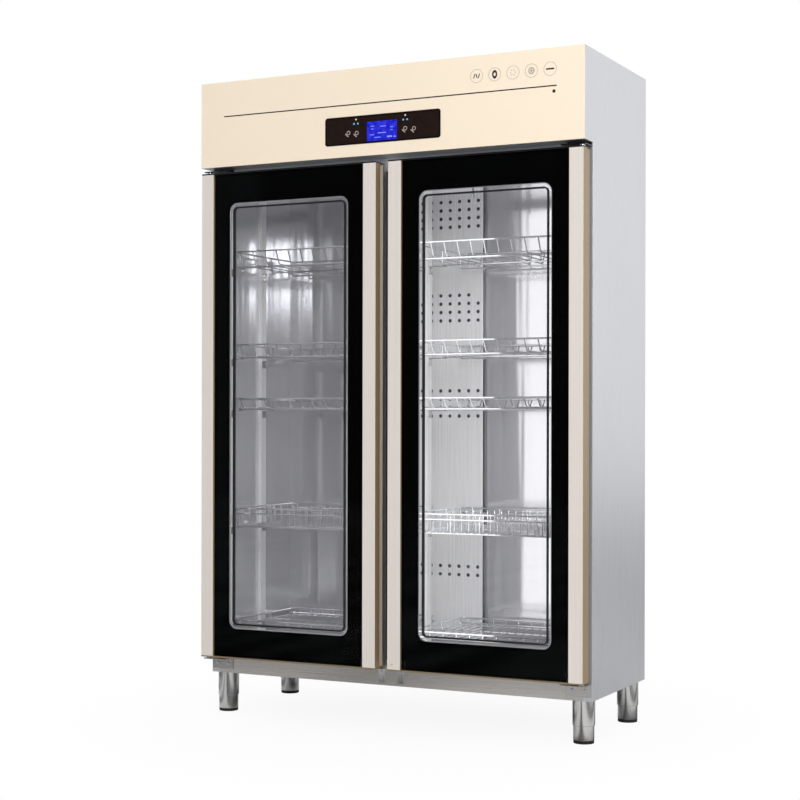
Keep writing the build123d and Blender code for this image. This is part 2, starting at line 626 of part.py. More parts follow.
def door_seals():
    """Glazing seal round the second pane, and the tapered gasket on the door's back."""
    front = BORDER_BACK_Y + BAND_GAP + LINER_SHEET
    inset = BAND + LINER_SHEET
    glazing = upright(window_outline(inset) - window_outline(inset + GLAZING_SEAL_WIDTH),
                      front, front + GLAZING_SEAL_DEPTH)
    width = DOOR_OUTER_X - DOOR_INNER_X - 2 * GASKET_INSET
    height = DOOR_TOP_Z - DOOR_BOTTOM_Z - 2 * GASKET_INSET
    taper = GASKET_WIDTH - GASKET_TIP
    place = Pos((DOOR_INNER_X + DOOR_OUTER_X) / 2, (DOOR_BOTTOM_Z + DOOR_TOP_Z) / 2)
    foot = Plane(origin=(0, DOOR_BACK_Y, 0), x_dir=(1, 0, 0), z_dir=(0, -1, 0))
    tip = Plane(origin=(0, DOOR_BACK_Y + GASKET_DEPTH, 0), x_dir=(1, 0, 0), z_dir=(0, -1, 0))
    outer = loft([foot * place * Rectangle(width, height),
                  tip * place * Rectangle(width - taper, height - taper)])
    wide = 2 * GASKET_WIDTH
    inner = loft([foot * place * Rectangle(width - wide, height - wide),
                  tip * place * Rectangle(width - wide + taper, height - wide + taper)])
    return group([glazing, outer - inner])


# ---- hinges and catches on the case ----
def hinge_brackets():
    """Angle brackets that carry the hinge pins, at the outer corners of both doors."""
    x0 = DOOR_OUTER_X - BRACKET_WIDTH
    front = HINGE_Y - SHOULDER_RADIUS - BRACKET_SHEET
    leg_y = CASE_FRONT_Y - BRACKET_SHEET
    hole = post(HINGE_X, HINGE_Y, UNDERSIDE, FASCIA_Z, PIN_RADIUS + PIN_CLEARANCE)
    low_z = DOOR_BOTTOM_Z - LOWER_BRACKET_GAP
    lower = block(x0, DOOR_OUTER_X, front, CASE_FRONT_Y, low_z - BRACKET_SHEET, low_z)
    lower += block(x0, DOOR_OUTER_X, leg_y, CASE_FRONT_Y, low_z - BRACKET_DROP, low_z)
    high_z = DOOR_TOP_Z + UPPER_BRACKET_GAP
    upper = block(x0, DOOR_OUTER_X, front, CASE_FRONT_Y, high_z, high_z + BRACKET_SHEET)
    upper += block(x0, DOOR_OUTER_X, leg_y, CASE_FRONT_Y, high_z, FASCIA_Z)
    return group([*both_sides(lower - hole), *both_sides(upper - hole)])


def hinge_pins():
    """Shouldered pins: each stands in its bracket and turns in the door's cap."""
    low_z = DOOR_BOTTOM_Z - LOWER_BRACKET_GAP
    lower = post(HINGE_X, HINGE_Y, low_z - BRACKET_SHEET, DOOR_BOTTOM_Z + PIN_REACH, PIN_RADIUS)
    lower += post(HINGE_X, HINGE_Y, low_z, DOOR_BOTTOM_Z - SHOULDER_CLEARANCE, SHOULDER_RADIUS)
    high_z = DOOR_TOP_Z + UPPER_BRACKET_GAP
    upper = post(HINGE_X, HINGE_Y, DOOR_TOP_Z - PIN_REACH, high_z + BRACKET_SHEET, PIN_RADIUS)
    upper += post(HINGE_X, HINGE_Y, DOOR_TOP_Z + SHOULDER_CLEARANCE, high_z, SHOULDER_RADIUS)
    return group([*both_sides(lower), *both_sides(upper)])


def door_catches():
    """Two small angle catches under the inner corners of the doors."""
    top = DOOR_BOTTOM_Z - CATCH_GAP
    x0 = CATCH_X - CATCH_WIDTH / 2
    x1 = CATCH_X + CATCH_WIDTH / 2
    leg = block(x0, x1, CASE_FRONT_Y - CATCH_SHEET, CASE_FRONT_Y, top - CATCH_HEIGHT, top)
    tongue = block(x0, x1, CASE_FRONT_Y - CATCH_REACH, CASE_FRONT_Y, top - CATCH_SHEET, top)
    hole = extrude(Plane(origin=(CATCH_X, CASE_FRONT_Y, top - CATCH_HOLE_DROP), z_dir=(0, -1, 0))
                   * Circle(CATCH_HOLE_RADIUS), CATCH_SHEET)
    return group(both_sides(leg + tongue - hole))


# ---- legs ----
def leg_places():
    """Centres of the four legs, in x and y."""
    return [(x, y) for y in (LEG_FRONT_Y, LEG_BACK_Y) for x in (-LEG_X, LEG_X)]


def leg_tubes():
    """Fixed upper tubes, capped where they bolt to the base."""
    bore = FOOT_RADIUS + FOOT_CLEARANCE
    tubes = []
    for x, y in leg_places():
        tube = post(x, y, UNDERSIDE - LEG_HEIGHT, UNDERSIDE, bore + LEG_WALL)
        tubes.append(tube - post(x, y, UNDERSIDE - LEG_HEIGHT, UNDERSIDE - LEG_CAP, bore))
    return group(tubes)


def foot(x, y):
    """Levelling foot: a cup that runs in the leg tube, on a rubber pad."""
    cup = post(x, y, PAD_HEIGHT, FOOT_TOP_Z, FOOT_RADIUS)
    cup -= post(x, y, PAD_HEIGHT + FOOT_WALL, FOOT_TOP_Z, FOOT_RADIUS - FOOT_WALL)
    pad = post(x, y, 0, PAD_HEIGHT, FOOT_RADIUS - PAD_INSET)
    return group([cup, pad])


# ---- shelves and baskets ----
def shelf_uprights():
    """Two channel uprights on each side wall and two posts behind the mullion."""
    pieces = []
    for y in UPRIGHT_YS:
        outline = Rectangle(UPRIGHT_DEPTH, UPRIGHT_WIDTH)
        outline -= Pos(UPRIGHT_SHEET) * Rectangle(UPRIGHT_DEPTH, UPRIGHT_WIDTH - 2 * UPRIGHT_SHEET)
        channel = lying(Pos(CHAMBER_X - UPRIGHT_DEPTH / 2, y) * outline, CHAMBER_FLOOR_Z, OPENING_TOP_Z)
        tube = Rectangle(CENTRE_POST, UPRIGHT_WIDTH)
        tube -= Rectangle(CENTRE_POST - 2 * UPRIGHT_SHEET, UPRIGHT_WIDTH - 2 * UPRIGHT_SHEET)
        pieces.extend(both_sides(channel))
        pieces.append(lying(Pos(0, y) * tube, CHAMBER_FLOOR_Z, OPENING_TOP_Z))
    return group(pieces)


def shelf_clips():
    """Angle clips under both ends of every basket."""
    wall_x = CHAMBER_X - UPRIGHT_DEPTH
    post_x = CENTRE_POST / 2
    half = CLIP_WIDTH / 2
    pieces = []
    for z in SHELF_HEIGHTS:
        for y in UPRIGHT_YS:
            wall = block(wall_x - CLIP_SHEET, wall_x, y - half, y + half, z - CLIP_LEG, z)
            wall += block(BASKET_OUTER_X - CLIP_LAP, wall_x, y - half, y + half, z - CLIP_SHEET, z)
            middle = block(post_x, post_x + CLIP_SHEET, y - half, y + half, z - CLIP_LEG, z)
            middle += block(post_x, BASKET_INNER_X + CLIP_LAP, y - half, y + half, z - CLIP_SHEET, z)
            pieces.extend([*both_sides(wall), *both_sides(middle)])
    return group(pieces)


def places(start, end, pitch):
    """Evenly spaced places between two ends, about a pitch apart, with a half step at each end."""
    count = round((end - start) / pitch)
    step = (end - start) / count
    return [start + step * (index + 0.5) for index in range(count)]


def basket_frame(z, fence, rims):
    """Cross wires on the clips, and that many rim wires round the top."""
    x0 = BASKET_INNER_X
    x1 = BASKET_OUTER_X
    front = BASKET_FRONT_Y + RIM_WIRE / 2
    back = BASKET_BACK_Y - RIM_WIRE / 2
    wires = []
    base_ys = (front + BASKET_FLARE, *UPRIGHT_YS, back - BASKET_FLARE)
    for y in base_ys:
        wires.append(wire((x0, y, z + RIM_WIRE / 2), (x1, y, z + RIM_WIRE / 2), RIM_WIRE))
    for level in range(rims):
        rim_z = z + fence - RIM_WIRE / 2 - level * RIM_SPACING
        for y in (front, back):
            wires.append(wire((x0, y, rim_z), (x1, y, rim_z), RIM_WIRE))
    rim_z = z + fence - RIM_WIRE / 2
    for x in (x0 + RIM_WIRE / 2, x1 - RIM_WIRE / 2):
        wires.append(wire((x, front + RIM_WIRE / 2, rim_z), (x, back - RIM_WIRE / 2, rim_z), RIM_WIRE))
        for y in base_ys:
            wires.append(wire((x, y, z + RIM_WIRE), (x, y, z + fence - RIM_WIRE), BAR_WIRE))
    return wires


def bar_places(pitch):
    """Places of the bars between a basket's two sides, in x."""
    return places(BASKET_INNER_X + RIM_WIRE, BASKET_OUTER_X - RIM_WIRE, pitch)


def base_bars(z, pitch, thickness, setback):
    """Bars that run front to back on the cross wires, that far inside the basket's outline."""
    front = BASKET_FRONT_Y + setback
    back = BASKET_BACK_Y - setback
    bar_z = z + RIM_WIRE + thickness / 2
    return [wire((x, front, bar_z), (x, back, bar_z), thickness) for x in bar_places(pitch)]


def sloping_ends(z, fence, pitch, thickness):
    """Short bars that lean out from the base bars' ends up to the front and back rims."""
    low = z + RIM_WIRE + thickness
    high = z + fence - RIM_WIRE
    half = thickness / 2
    bars = []
    for rim_y, inward in ((BASKET_FRONT_Y + RIM_WIRE / 2, 1), (BASKET_BACK_Y - RIM_WIRE / 2, -1)):
        foot_y = rim_y + inward * BASKET_FLARE
        outline = make_face(Polyline(
            (foot_y - half, low), (foot_y + half, low), (rim_y + half, high), (rim_y - half, high),
            close=True,
        ))
        for x in bar_places(pitch):
            bars.append(extrude(Plane.YZ.offset(x - half) * outline, thickness))
    return bars


def bowl_basket(z, fence):
    """Basket of J-shaped bars for bowls and cups."""
    bars = base_bars(z, BOWL_PITCH, BAR_WIRE, RIM_WIRE / 2 + BASKET_FLARE)
    return basket_frame(z, fence, 1) + bars + sloping_ends(z, fence, BOWL_PITCH, BAR_WIRE)


def plate_rack(z):
    """Rack with two rims, dividers for plates, and end pins that carry both rims."""
    wires = basket_frame(z, PLATE_FENCE, 2) + base_bars(z, PLATE_PITCH, PIN_WIRE, RIM_WIRE)
    low = z + RIM_WIRE + PIN_WIRE
    high = z + PLATE_FENCE
    xs = bar_places(PLATE_PITCH)
    for x in xs:
        for y in UPRIGHT_YS:
            wires.append(wire((x, y, low), (x, y, high), PIN_WIRE))
    setback = RIM_WIRE + PIN_WIRE / 2
    for x in xs[1::round(len(xs) / END_PINS)]:
        for y in (BASKET_FRONT_Y + setback, BASKET_BACK_Y - setback):
            wires.append(wire((x, y, low), (x, y, high), PIN_WIRE))
    return wires


def tray_rack(z):
    """Shallow rack with a close base for trays."""
    return basket_frame(z, TRAY_FENCE, 1) + base_bars(z, TRAY_PITCH, PIN_WIRE, RIM_WIRE / 2 + BASKET_FLARE)


def basket_pair(wires):
    """The right-hand basket of a level and its twin on the left."""
    right = group(wires)
    return group([mirror(right, about=Plane.YZ), right])


# ---- hot air ----
def duct_cover():
    """Perforated panel on two side strips and a foot strip, down the middle of the back wall."""
    foot_z = CHAMBER_FLOOR_Z + DUCT_FOOT
    front = Pos(0, (foot_z + OPENING_TOP_Z) / 2) * Rectangle(DUCT_WIDTH, OPENING_TOP_Z - foot_z)
    hole = RegularPolygon(HOLE_RADIUS, HOLE_SIDES)
    for top, rows in HOLE_GROUPS:
        middle = top - HOLE_PITCH_Z * (rows - 1) / 2
        spots = GridLocations(HOLE_PITCH_X, HOLE_PITCH_Z, HOLE_COLUMNS, rows)
        front -= [Pos(0, middle) * spot * hole for spot in spots]
    side = DUCT_WIDTH / 2
    panel_back = DUCT_FRONT_Y + DUCT_SHEET
    pieces = [upright(front, DUCT_FRONT_Y, panel_back)]
    for x in (-side, side - DUCT_SHEET):
        pieces.append(block(x, x + DUCT_SHEET, panel_back, CHAMBER_BACK_Y, foot_z, OPENING_TOP_Z))
    pieces.append(block(DUCT_SHEET - side, side - DUCT_SHEET, panel_back, CHAMBER_BACK_Y,
                        foot_z, foot_z + DUCT_SHEET))
    return group(pieces)


def heater_elements():
    """Two rod heaters, each bent once, hung in the duct from a strip across the deck's slot."""
    y0 = DUCT_FRONT_Y + DUCT_SHEET
    y = (y0 + CHAMBER_BACK_Y) / 2
    bend = HEATER_LEG_GAP / 2
    low = OPENING_TOP_Z - HEATER_LENGTH
    section = RegularPolygon(HEATER_RADIUS, HEATER_SIDES)
    rods = []
    for x in (-HEATER_SPACING / 2 - bend, HEATER_SPACING / 2 + bend):
        legs = lying(Pos(x - bend, y) * section, low, DECK_TOP_Z)
        legs += lying(Pos(x + bend, y) * section, low, DECK_TOP_Z)
        facing = Plane(origin=(x, y, low), x_dir=(1, 0, 0), z_dir=(0, -1, 0))
        start = Plane(origin=(x - bend, y, low), x_dir=(1, 0, 0), z_dir=(0, 0, -1))
        turn = sweep(start * section, path=facing * CenterArc((0, 0), bend, 180, 180))
        edge = bend + HEATER_RADIUS + HEATER_STRIP_LAP
        strip = block(x - edge, x + edge, y0, CHAMBER_BACK_Y, DECK_Z, DECK_TOP_Z)
        rods.append(legs + turn + strip)
    return group(rods)


def fan_housing():
    """Round fan casing on the deck, with a flat throat back to the duct."""
    half = OUTLET_WIDTH / 2
    outer = Pos(0, FAN_Y) * Circle(SCROLL_RADIUS)
    outer += Pos(0, (FAN_Y + CHAMBER_BACK_Y) / 2) * Rectangle(OUTLET_WIDTH, CHAMBER_BACK_Y - FAN_Y)
    inner = Pos(0, FAN_Y) * Circle(SCROLL_RADIUS - SCROLL_SHEET)
    back = CHAMBER_BACK_Y - SCROLL_SHEET
    inner += Pos(0, (FAN_Y + back) / 2) * Rectangle(2 * (half - SCROLL_SHEET), back - FAN_Y)
    casing = lying(outer, DECK_TOP_Z, SCROLL_TOP_Z)
    casing -= lying(inner, DECK_TOP_Z + SCROLL_SHEET, SCROLL_TOP_Z - SCROLL_SHEET)
    casing -= intake_hole(DECK_TOP_Z, DECK_TOP_Z + SCROLL_SHEET)
    casing -= block(-half + SCROLL_SHEET, half - SCROLL_SHEET, DUCT_FRONT_Y + DUCT_SHEET, back,
                    DECK_TOP_Z, DECK_TOP_Z + SCROLL_SHEET)
    return casing - post(0, FAN_Y, SCROLL_TOP_Z - SCROLL_SHEET, SCROLL_TOP_Z, HUB_RADIUS)


def impeller():
    """Centrifugal wheel with bent blades, on its shaft."""
    low = DECK_TOP_Z + SCROLL_SHEET + WHEEL_GAP
    high = low + WHEEL_HEIGHT
    middle = (WHEEL_INNER + WHEEL_RADIUS) / 2
    tip = WHEEL_RADIUS - BLADE_SHEET
    blade = make_face(Polyline(
        (WHEEL_INNER, 0), (middle, BLADE_BOW), (tip, 0), (tip, BLADE_SHEET),
        (middle, BLADE_BOW + BLADE_SHEET), (WHEEL_INNER, BLADE_SHEET),
        close=True,
    ))
    blades = [Rot(0, 0, spot * 360 / BLADES) * blade for spot in range(BLADES)]
    wheel = post(0, 0, high - BLADE_SHEET, high, WHEEL_RADIUS)
    wheel += post(0, 0, high - HUB_RADIUS, high, HUB_RADIUS)
    ring = Circle(WHEEL_RADIUS) - Circle(WHEEL_INNER)
    wheel += lying(ring, low, low + BLADE_SHEET)
    for one in blades:
        wheel += lying(one, low + BLADE_SHEET, high - BLADE_SHEET)
    wheel += post(0, 0, high - HUB_RADIUS, SCROLL_TOP_Z + SHAFT_DEPTH - SHAFT_END_GAP, SHAFT_RADIUS)
    return Pos(0, FAN_Y, 0) * wheel


def fan_motor():
    """Motor on the fan casing, bored for the wheel's shaft."""
    flange = post(0, FAN_Y, SCROLL_TOP_Z, SCROLL_TOP_Z + MOTOR_FLANGE_SHEET, MOTOR_FLANGE)
    body = post(0, FAN_Y, SCROLL_TOP_Z, SCROLL_TOP_Z + MOTOR_HEIGHT, MOTOR_RADIUS)
    body = fillet(body.edges().sort_by(Axis.Z)[-1], MOTOR_EDGE)
    bore = post(0, FAN_Y, SCROLL_TOP_Z, SCROLL_TOP_Z + SHAFT_DEPTH, SHAFT_RADIUS + SHAFT_CLEARANCE)
    return flange + body - bore


def temperature_probe():
    """Rod that hangs from the ceiling, under a flat head."""
    y = CASE_FRONT_Y + PROBE_SETBACK
    rod = post(PROBE_X, y, OPENING_TOP_Z - PROBE_LENGTH, OPENING_TOP_Z, PROBE_RADIUS)
    return rod + post(PROBE_X, y, OPENING_TOP_Z - PROBE_HEAD_SHEET, OPENING_TOP_Z, PROBE_HEAD_RADIUS)


# ---- all nodes ----
nodes = {}
nodes["side_panel_left"], nodes["side_panel_right"] = both_sides(side_panel())
nodes["top_cover"] = top_cover()
nodes["back_cover"] = back_cover()
nodes["base_plate"] = base_plate()
nodes["front_top_rail"] = front_top_rail()
nodes["front_bottom_rail"] = front_bottom_rail()
nodes["centre_mullion"] = centre_mullion()
nodes["mullion_seal"] = mullion_seal()
nodes["insulation_boards"] = insulation()
nodes["liner_left"], nodes["liner_right"] = both_sides(
    block(CHAMBER_X, LINER_X, INNER_FRONT_Y, LINER_BACK_Y, LINER_FOOT_Z, LINER_TOP_Z))
nodes["liner_back"] = block(-CHAMBER_X, CHAMBER_X, CHAMBER_BACK_Y, LINER_BACK_Y, LINER_FOOT_Z, LINER_TOP_Z)
nodes["liner_ceiling"] = liner_ceiling()
nodes["liner_floor"] = block(
    -CHAMBER_X, CHAMBER_X, INNER_FRONT_Y, CHAMBER_BACK_Y, LINER_FOOT_Z, CHAMBER_FLOOR_Z)
nodes["compartment_deck"] = deck()
nodes["fascia_face"] = fascia_face()
nodes["fascia_box"] = fascia_box()
nodes["control_lens"] = control_lens()
nodes["display_module"] = display_module()
nodes["control_board"] = control_board()
nodes["power_unit"] = power_unit()
nodes["cord_gland"] = cord_gland()
nodes["hinge_brackets"] = hinge_brackets()
nodes["hinge_pins"] = hinge_pins()
nodes["door_catches"] = door_catches()
nodes["leg_tubes"] = leg_tubes()
nodes["shelf_uprights"] = shelf_uprights()
nodes["shelf_clips"] = shelf_clips()
for number, height in enumerate(SHELF_HEIGHTS[:3]):
    nodes[f"bowl_baskets_{number + 1}"] = basket_pair(bowl_basket(height, BOWL_FENCES[number]))
nodes["plate_racks"] = basket_pair(plate_rack(SHELF_HEIGHTS[3]))
nodes["tray_racks"] = basket_pair(tray_rack(SHELF_HEIGHTS[4]))
nodes["duct_cover"] = duct_cover()
nodes["heater_elements"] = heater_elements()
nodes["fan_housing"] = fan_housing()
nodes["fan_motor"] = fan_motor()
nodes["impeller"] = impeller()
nodes["temperature_probe"] = temperature_probe()

FOOT_NAMES = ("foot_front_left", "foot_front_right", "foot_back_left", "foot_back_right")
for name, (foot_x, foot_y) in zip(FOOT_NAMES, leg_places()):
    nodes[name] = foot(foot_x, foot_y)

DOOR_PIECES = {
    "hinge_stile": hinge_stile(),
    "grip_stile": grip_stile(),
    "end_caps": end_caps(),
    "glass": upright(glass_outline(), FACE_Y + GLASS_SETBACK, GLASS_BACK_Y),
    "border": door_border(),
    "inner_plate": inner_plate(),
    "inner_glass": inner_glass(),
    "seals": door_seals(),
}
for piece, shape in DOOR_PIECES.items():
    nodes[f"left_door_{piece}"], nodes[f"right_door_{piece}"] = both_sides(shape)

os.makedirs("parts", exist_ok=True)
for name, shape in nodes.items():
    export_step(shape, f"parts/{name}.step")
print(len(nodes), "nodes")
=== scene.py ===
# %% [markdown]
# # A dish sterilizing cabinet with two glass doors
# The cabinet is a stainless steel case on four legs, with a cream fascia above two framed glass doors and
# wire baskets behind them. The pieces that hold it together come in from the frame at their real size, and
# this lesson gives them their finishes and models the wire, the holes and the small trim that the eye looks
# for.

# %% Load the frame
import bpy
import json
import math
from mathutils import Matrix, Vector


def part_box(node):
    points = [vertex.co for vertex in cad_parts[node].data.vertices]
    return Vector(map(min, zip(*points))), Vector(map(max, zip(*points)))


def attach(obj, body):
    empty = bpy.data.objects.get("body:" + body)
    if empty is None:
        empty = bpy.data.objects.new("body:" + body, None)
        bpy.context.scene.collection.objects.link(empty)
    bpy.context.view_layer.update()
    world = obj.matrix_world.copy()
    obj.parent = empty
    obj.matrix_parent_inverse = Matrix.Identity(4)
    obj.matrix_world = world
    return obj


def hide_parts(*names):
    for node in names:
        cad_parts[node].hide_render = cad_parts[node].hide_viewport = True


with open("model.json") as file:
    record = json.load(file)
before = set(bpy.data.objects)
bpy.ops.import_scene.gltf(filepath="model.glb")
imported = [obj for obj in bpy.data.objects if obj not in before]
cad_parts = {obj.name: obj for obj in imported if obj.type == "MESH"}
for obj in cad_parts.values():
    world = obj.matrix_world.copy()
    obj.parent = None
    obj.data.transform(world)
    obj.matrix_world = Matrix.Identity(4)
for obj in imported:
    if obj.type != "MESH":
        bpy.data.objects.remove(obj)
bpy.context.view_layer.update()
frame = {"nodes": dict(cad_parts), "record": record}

# %% [markdown]
# ## Working by hand, in code
# Every operator acts on what is selected, so each step starts from a clean selection. A finished piece is
# closed, its faces point outwards, its place is in its mesh, and it rides on the body that carries it.

# %% Selection and finishing
MM = 0.001
FRONT_FACING = (math.pi / 2, 0, 0)  # turns an upward face to the front


def select_only(piece):
    """Object mode, with this piece alone selected and active."""
    if bpy.context.mode != "OBJECT":
        bpy.ops.object.mode_set(mode="OBJECT")
    bpy.ops.object.select_all(action="DESELECT")
    if piece is not None:
        piece.select_set(True)
        bpy.context.view_layer.objects.active = piece


def edit_all(piece, kind="FACE"):
    """Edit mode, with the whole piece selected."""
    select_only(piece)
    bpy.ops.object.mode_set(mode="EDIT")
    bpy.ops.mesh.select_mode(type=kind)
    bpy.ops.mesh.select_all(action="SELECT")


def settle(piece):
    """Puts a piece's place and turn into its mesh."""
    select_only(piece)
    bpy.ops.object.transform_apply(location=True, rotation=True, scale=True)
    return piece


def apply_modifier(piece, kind, **settings):
    """Adds a modifier, sets it and applies it."""
    select_only(piece)
    modifier = piece.modifiers.new(kind.title(), kind)
    for name, value in settings.items():
        setattr(modifier, name, value)
    bpy.ops.object.modifier_apply(modifier=modifier.name)
    return piece


def joined(pieces):
    """One mesh of several pieces."""
    select_only(pieces[0])
    for piece in pieces:
        piece.select_set(True)
    bpy.ops.object.join()
    return bpy.context.object


def in_a_row(piece, count, step):
    """A row of copies of a piece, one step apart."""
    return apply_modifier(piece, "ARRAY", count=count, use_relative_offset=False,
                          use_constant_offset=True, constant_offset_displace=step)


def on_both_sides(piece):
    """A piece and its mirror image across the middle of the cabinet."""
    return apply_modifier(piece, "MIRROR", use_mirror_merge=False)


def finish_piece(piece, name, slot, body, *replaced, angle=35):
    """Closes a piece's work: faces outwards, smooth where it is round, named, dressed and on its body."""
    edit_all(piece)
    bpy.ops.mesh.normals_make_consistent(inside=False)
    bpy.ops.object.mode_set(mode="OBJECT")
    bpy.ops.object.shade_smooth_by_angle(angle=math.radians(angle))
    piece.name = name
    piece.data.name = name
    piece.data.materials.clear()
    piece.data.materials.append(FINISHES[slot])
    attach(piece, body)
    if replaced:
        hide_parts(*replaced)
    print(name, len(piece.data.polygons), "faces on", body)
    return piece


# %% [markdown]
# ## Wire, turned pieces and flat plates
# Three ways of making cover nearly all the new pieces. Basket wire is bent rod: a small circle is extruded
# along each straight run and spun round each bend, as a bending machine does. Feet and screws are turned,
# so rings are extruded one after another on one axis. Printed marks and lenses are thin plates with rounded
# corners.

# %% Bent wire
def bent_wire(corners, radius, bend=0.0, sides=8, steps=4):
    """Round wire through corners, with each corner bent to a radius."""
    corners = [Vector(corner) for corner in corners]
    heading = (corners[1] - corners[0]).normalized()
    turn = heading.to_track_quat("Z", "Y").to_euler()
    select_only(None)
    bpy.ops.mesh.primitive_circle_add(vertices=sides, radius=radius, fill_type="NGON",
                                      location=corners[0], rotation=turn)
    wire = settle(bpy.context.object)
    edit_all(wire)
    place = corners[0]
    for here, after in zip(corners[1:], corners[2:] + [None]):
        stop = here
        if after is not None:
            onward = (after - here).normalized()
            angle = heading.angle(onward)
            reach = bend * math.tan(angle / 2)
            stop = here - heading * reach
        bpy.ops.mesh.extrude_region_move(TRANSFORM_OT_translate={"value": stop - place})
        if after is not None:
            axis = heading.cross(onward).normalized()
            centre = stop + axis.cross(heading) * bend
            bpy.ops.mesh.spin(steps=steps, angle=-angle, center=centre, axis=axis)
            place = here + onward * reach
            heading = onward
    bpy.ops.mesh.select_all(action="SELECT")
    bpy.ops.mesh.remove_doubles(threshold=1e-6)
    bpy.ops.object.mode_set(mode="OBJECT")
    return wire


def wire_loop(x0, x1, y0, y1, z, radius, bend):
    """A closed rectangle of wire, butted in the middle of one side."""
    middle = (y0 + y1) / 2
    loop = bent_wire([(x0, middle, z), (x0, y0, z), (x1, y0, z), (x1, y1, z), (x0, y1, z), (x0, middle, z)],
                     radius, bend)
    edit_all(loop)
    bpy.ops.mesh.select_all(action="DESELECT")
    bpy.ops.mesh.select_interior_faces()
    bpy.ops.mesh.delete(type="FACE")
    bpy.ops.object.mode_set(mode="OBJECT")
    return loop


# %% [markdown]
# ## Turning, plates and flat rings
# A turned piece could be a spun outline, but growing it ring by ring keeps each radius in plain sight. A
# plate starts as a plane whose corners are bevelled before it gets its thickness, so its corners stay
# exact.

# %% Turned pieces, plates and rings
def turned(profile, place, turn=(0, 0, 0), sides=32):
    """A round piece: rings of radius and height, one after another, closed at both ends."""
    radius, height = profile[0]
    select_only(None)
    bpy.ops.mesh.primitive_circle_add(vertices=sides, radius=radius, fill_type="NGON",
                                      location=(0, 0, height))
    piece = settle(bpy.context.object)
    edit_all(piece)
    for next_radius, next_height in profile[1:]:
        rise = {"value": (0, 0, next_height - height)}
        bpy.ops.mesh.extrude_region_move(TRANSFORM_OT_translate=rise)
        growth = next_radius / radius
        bpy.ops.transform.resize(value=(growth, growth, 1), center_override=(0, 0, next_height))
        radius, height = next_radius, next_height
    bpy.ops.object.mode_set(mode="OBJECT")
    piece.rotation_euler = turn
    piece.location = place
    return settle(piece)


def plate(centre, width, height, corner, thickness, tilt=0.0):
    """A plate that faces the front, with rounded corners. The centre is the middle of its front."""
    select_only(None)
    bpy.ops.mesh.primitive_plane_add(size=1, location=centre, rotation=(math.pi / 2, tilt, 0))
    piece = bpy.context.object
    piece.scale = (width, height, 1)
    settle(piece)
    edit_all(piece, "VERT")
    bpy.ops.mesh.bevel(offset=corner, segments=6, affect="VERTICES")
    bpy.ops.mesh.select_mode(type="FACE")
    bpy.ops.mesh.select_all(action="SELECT")
    bpy.ops.mesh.extrude_region_move(TRANSFORM_OT_translate={"value": (0, thickness, 0)})
    bpy.ops.object.mode_set(mode="OBJECT")
    return piece


def flat_ring(centre, across, line, depth, height=1.0):
    """A thin printed ring that faces the front. Height stretches it upwards."""
    select_only(None)
    bpy.ops.mesh.primitive_torus_add(location=centre, rotation=FRONT_FACING, major_segments=40,
                                     minor_segments=6, major_radius=across / 2, minor_radius=line / 2)
    piece = settle(bpy.context.object)
    edit_all(piece)
    bpy.ops.transform.resize(value=(1, depth / line, height), center_override=centre)
    bpy.ops.object.mode_set(mode="OBJECT")
    return piece


def slab(low, high, edge):
    """A straight sheet or bar between two corners, with its edges eased."""
    select_only(None)
    low, high = Vector(low), Vector(high)
    bpy.ops.mesh.primitive_cube_add(size=1, location=(low + high) / 2)
    piece = bpy.context.object
    piece.scale = high - low
    settle(piece)
    return apply_modifier(piece, "BEVEL", width=edge, segments=2)


def cut_away(piece, tool):
    """Cuts one closed piece out of another."""
    for solid in (piece, tool):
        edit_all(solid)
        bpy.ops.mesh.normals_make_consistent(inside=False)
    apply_modifier(piece, "BOOLEAN", object=tool, operation="DIFFERENCE", solver="EXACT")
    bpy.data.objects.remove(tool)
    return piece


# %% [markdown]
# ## Finishes
# A finish is a shader with the same few parts: a colour that wanders a little, a roughness that follows the
# grain, a fine bump, and edges that are rounded to catch the light and lightened by a painted highlight. The
# grain reads the piece's own coordinates, so that it stays on the piece when a door swings. A bevel node
# compares the softened normal with the real one, and the difference marks the edges that get the painted
# highlight.

# %% Shader helpers
def screen(red, green, blue):
    """A colour in screen values from 0 to 255, as a shader reads it."""
    shares = [value / 255 for value in (red, green, blue)]
    return [((share + 0.055) / 1.055) ** 2.4 if share > 0.04 else share / 12.92 for share in shares] + [1.0]


def new_finish(name, colour, metallic, roughness):
    """A material with its colour, metal and roughness set on the shader."""
    finish = bpy.data.materials.new(name)
    finish.use_nodes = True
    shader = finish.node_tree.nodes["Principled BSDF"]
    shader.inputs["Base Color"].default_value = colour
    shader.inputs["Metallic"].default_value = metallic
    shader.inputs["Roughness"].default_value = roughness
    return finish, shader


def node(finish, kind, inputs=(), **settings):
    """A new node. Inputs is a list of socket and value, or socket and the output that feeds it."""
    made = finish.node_tree.nodes.new(kind)
    for name, value in settings.items():
        setattr(made, name, value)
    for socket, value in inputs:
        if isinstance(value, bpy.types.NodeSocket):
            finish.node_tree.links.new(value, made.inputs[socket])
        else:
            made.inputs[socket].default_value = value
    return made


def feed(finish, output, socket):
    """Links an output to a socket."""
    finish.node_tree.links.new(output, socket)


def grain(finish, scale, detail=2.0):
    """Noise on the piece's own coordinates, with a scale along each axis."""
    place = node(finish, "ShaderNodeTexCoord")
    mapping = node(finish, "ShaderNodeMapping", [("Vector", place.outputs["Object"]), ("Scale", scale)])
    noise = node(finish, "ShaderNodeTexNoise",
                 [("Vector", mapping.outputs["Vector"]), ("Scale", 1.0), ("Detail", detail)])
    return noise.outputs["Fac"]


def between(finish, value, low, high, start=0.3, end=0.7):
    """Spreads a value from start..end to low..high, and holds it there."""
    spread = node(finish, "ShaderNodeMapRange", [("Value", value), ("From Min", start), ("From Max", end),
                                                 ("To Min", low), ("To Max", high)])
    return spread.outputs["Result"]


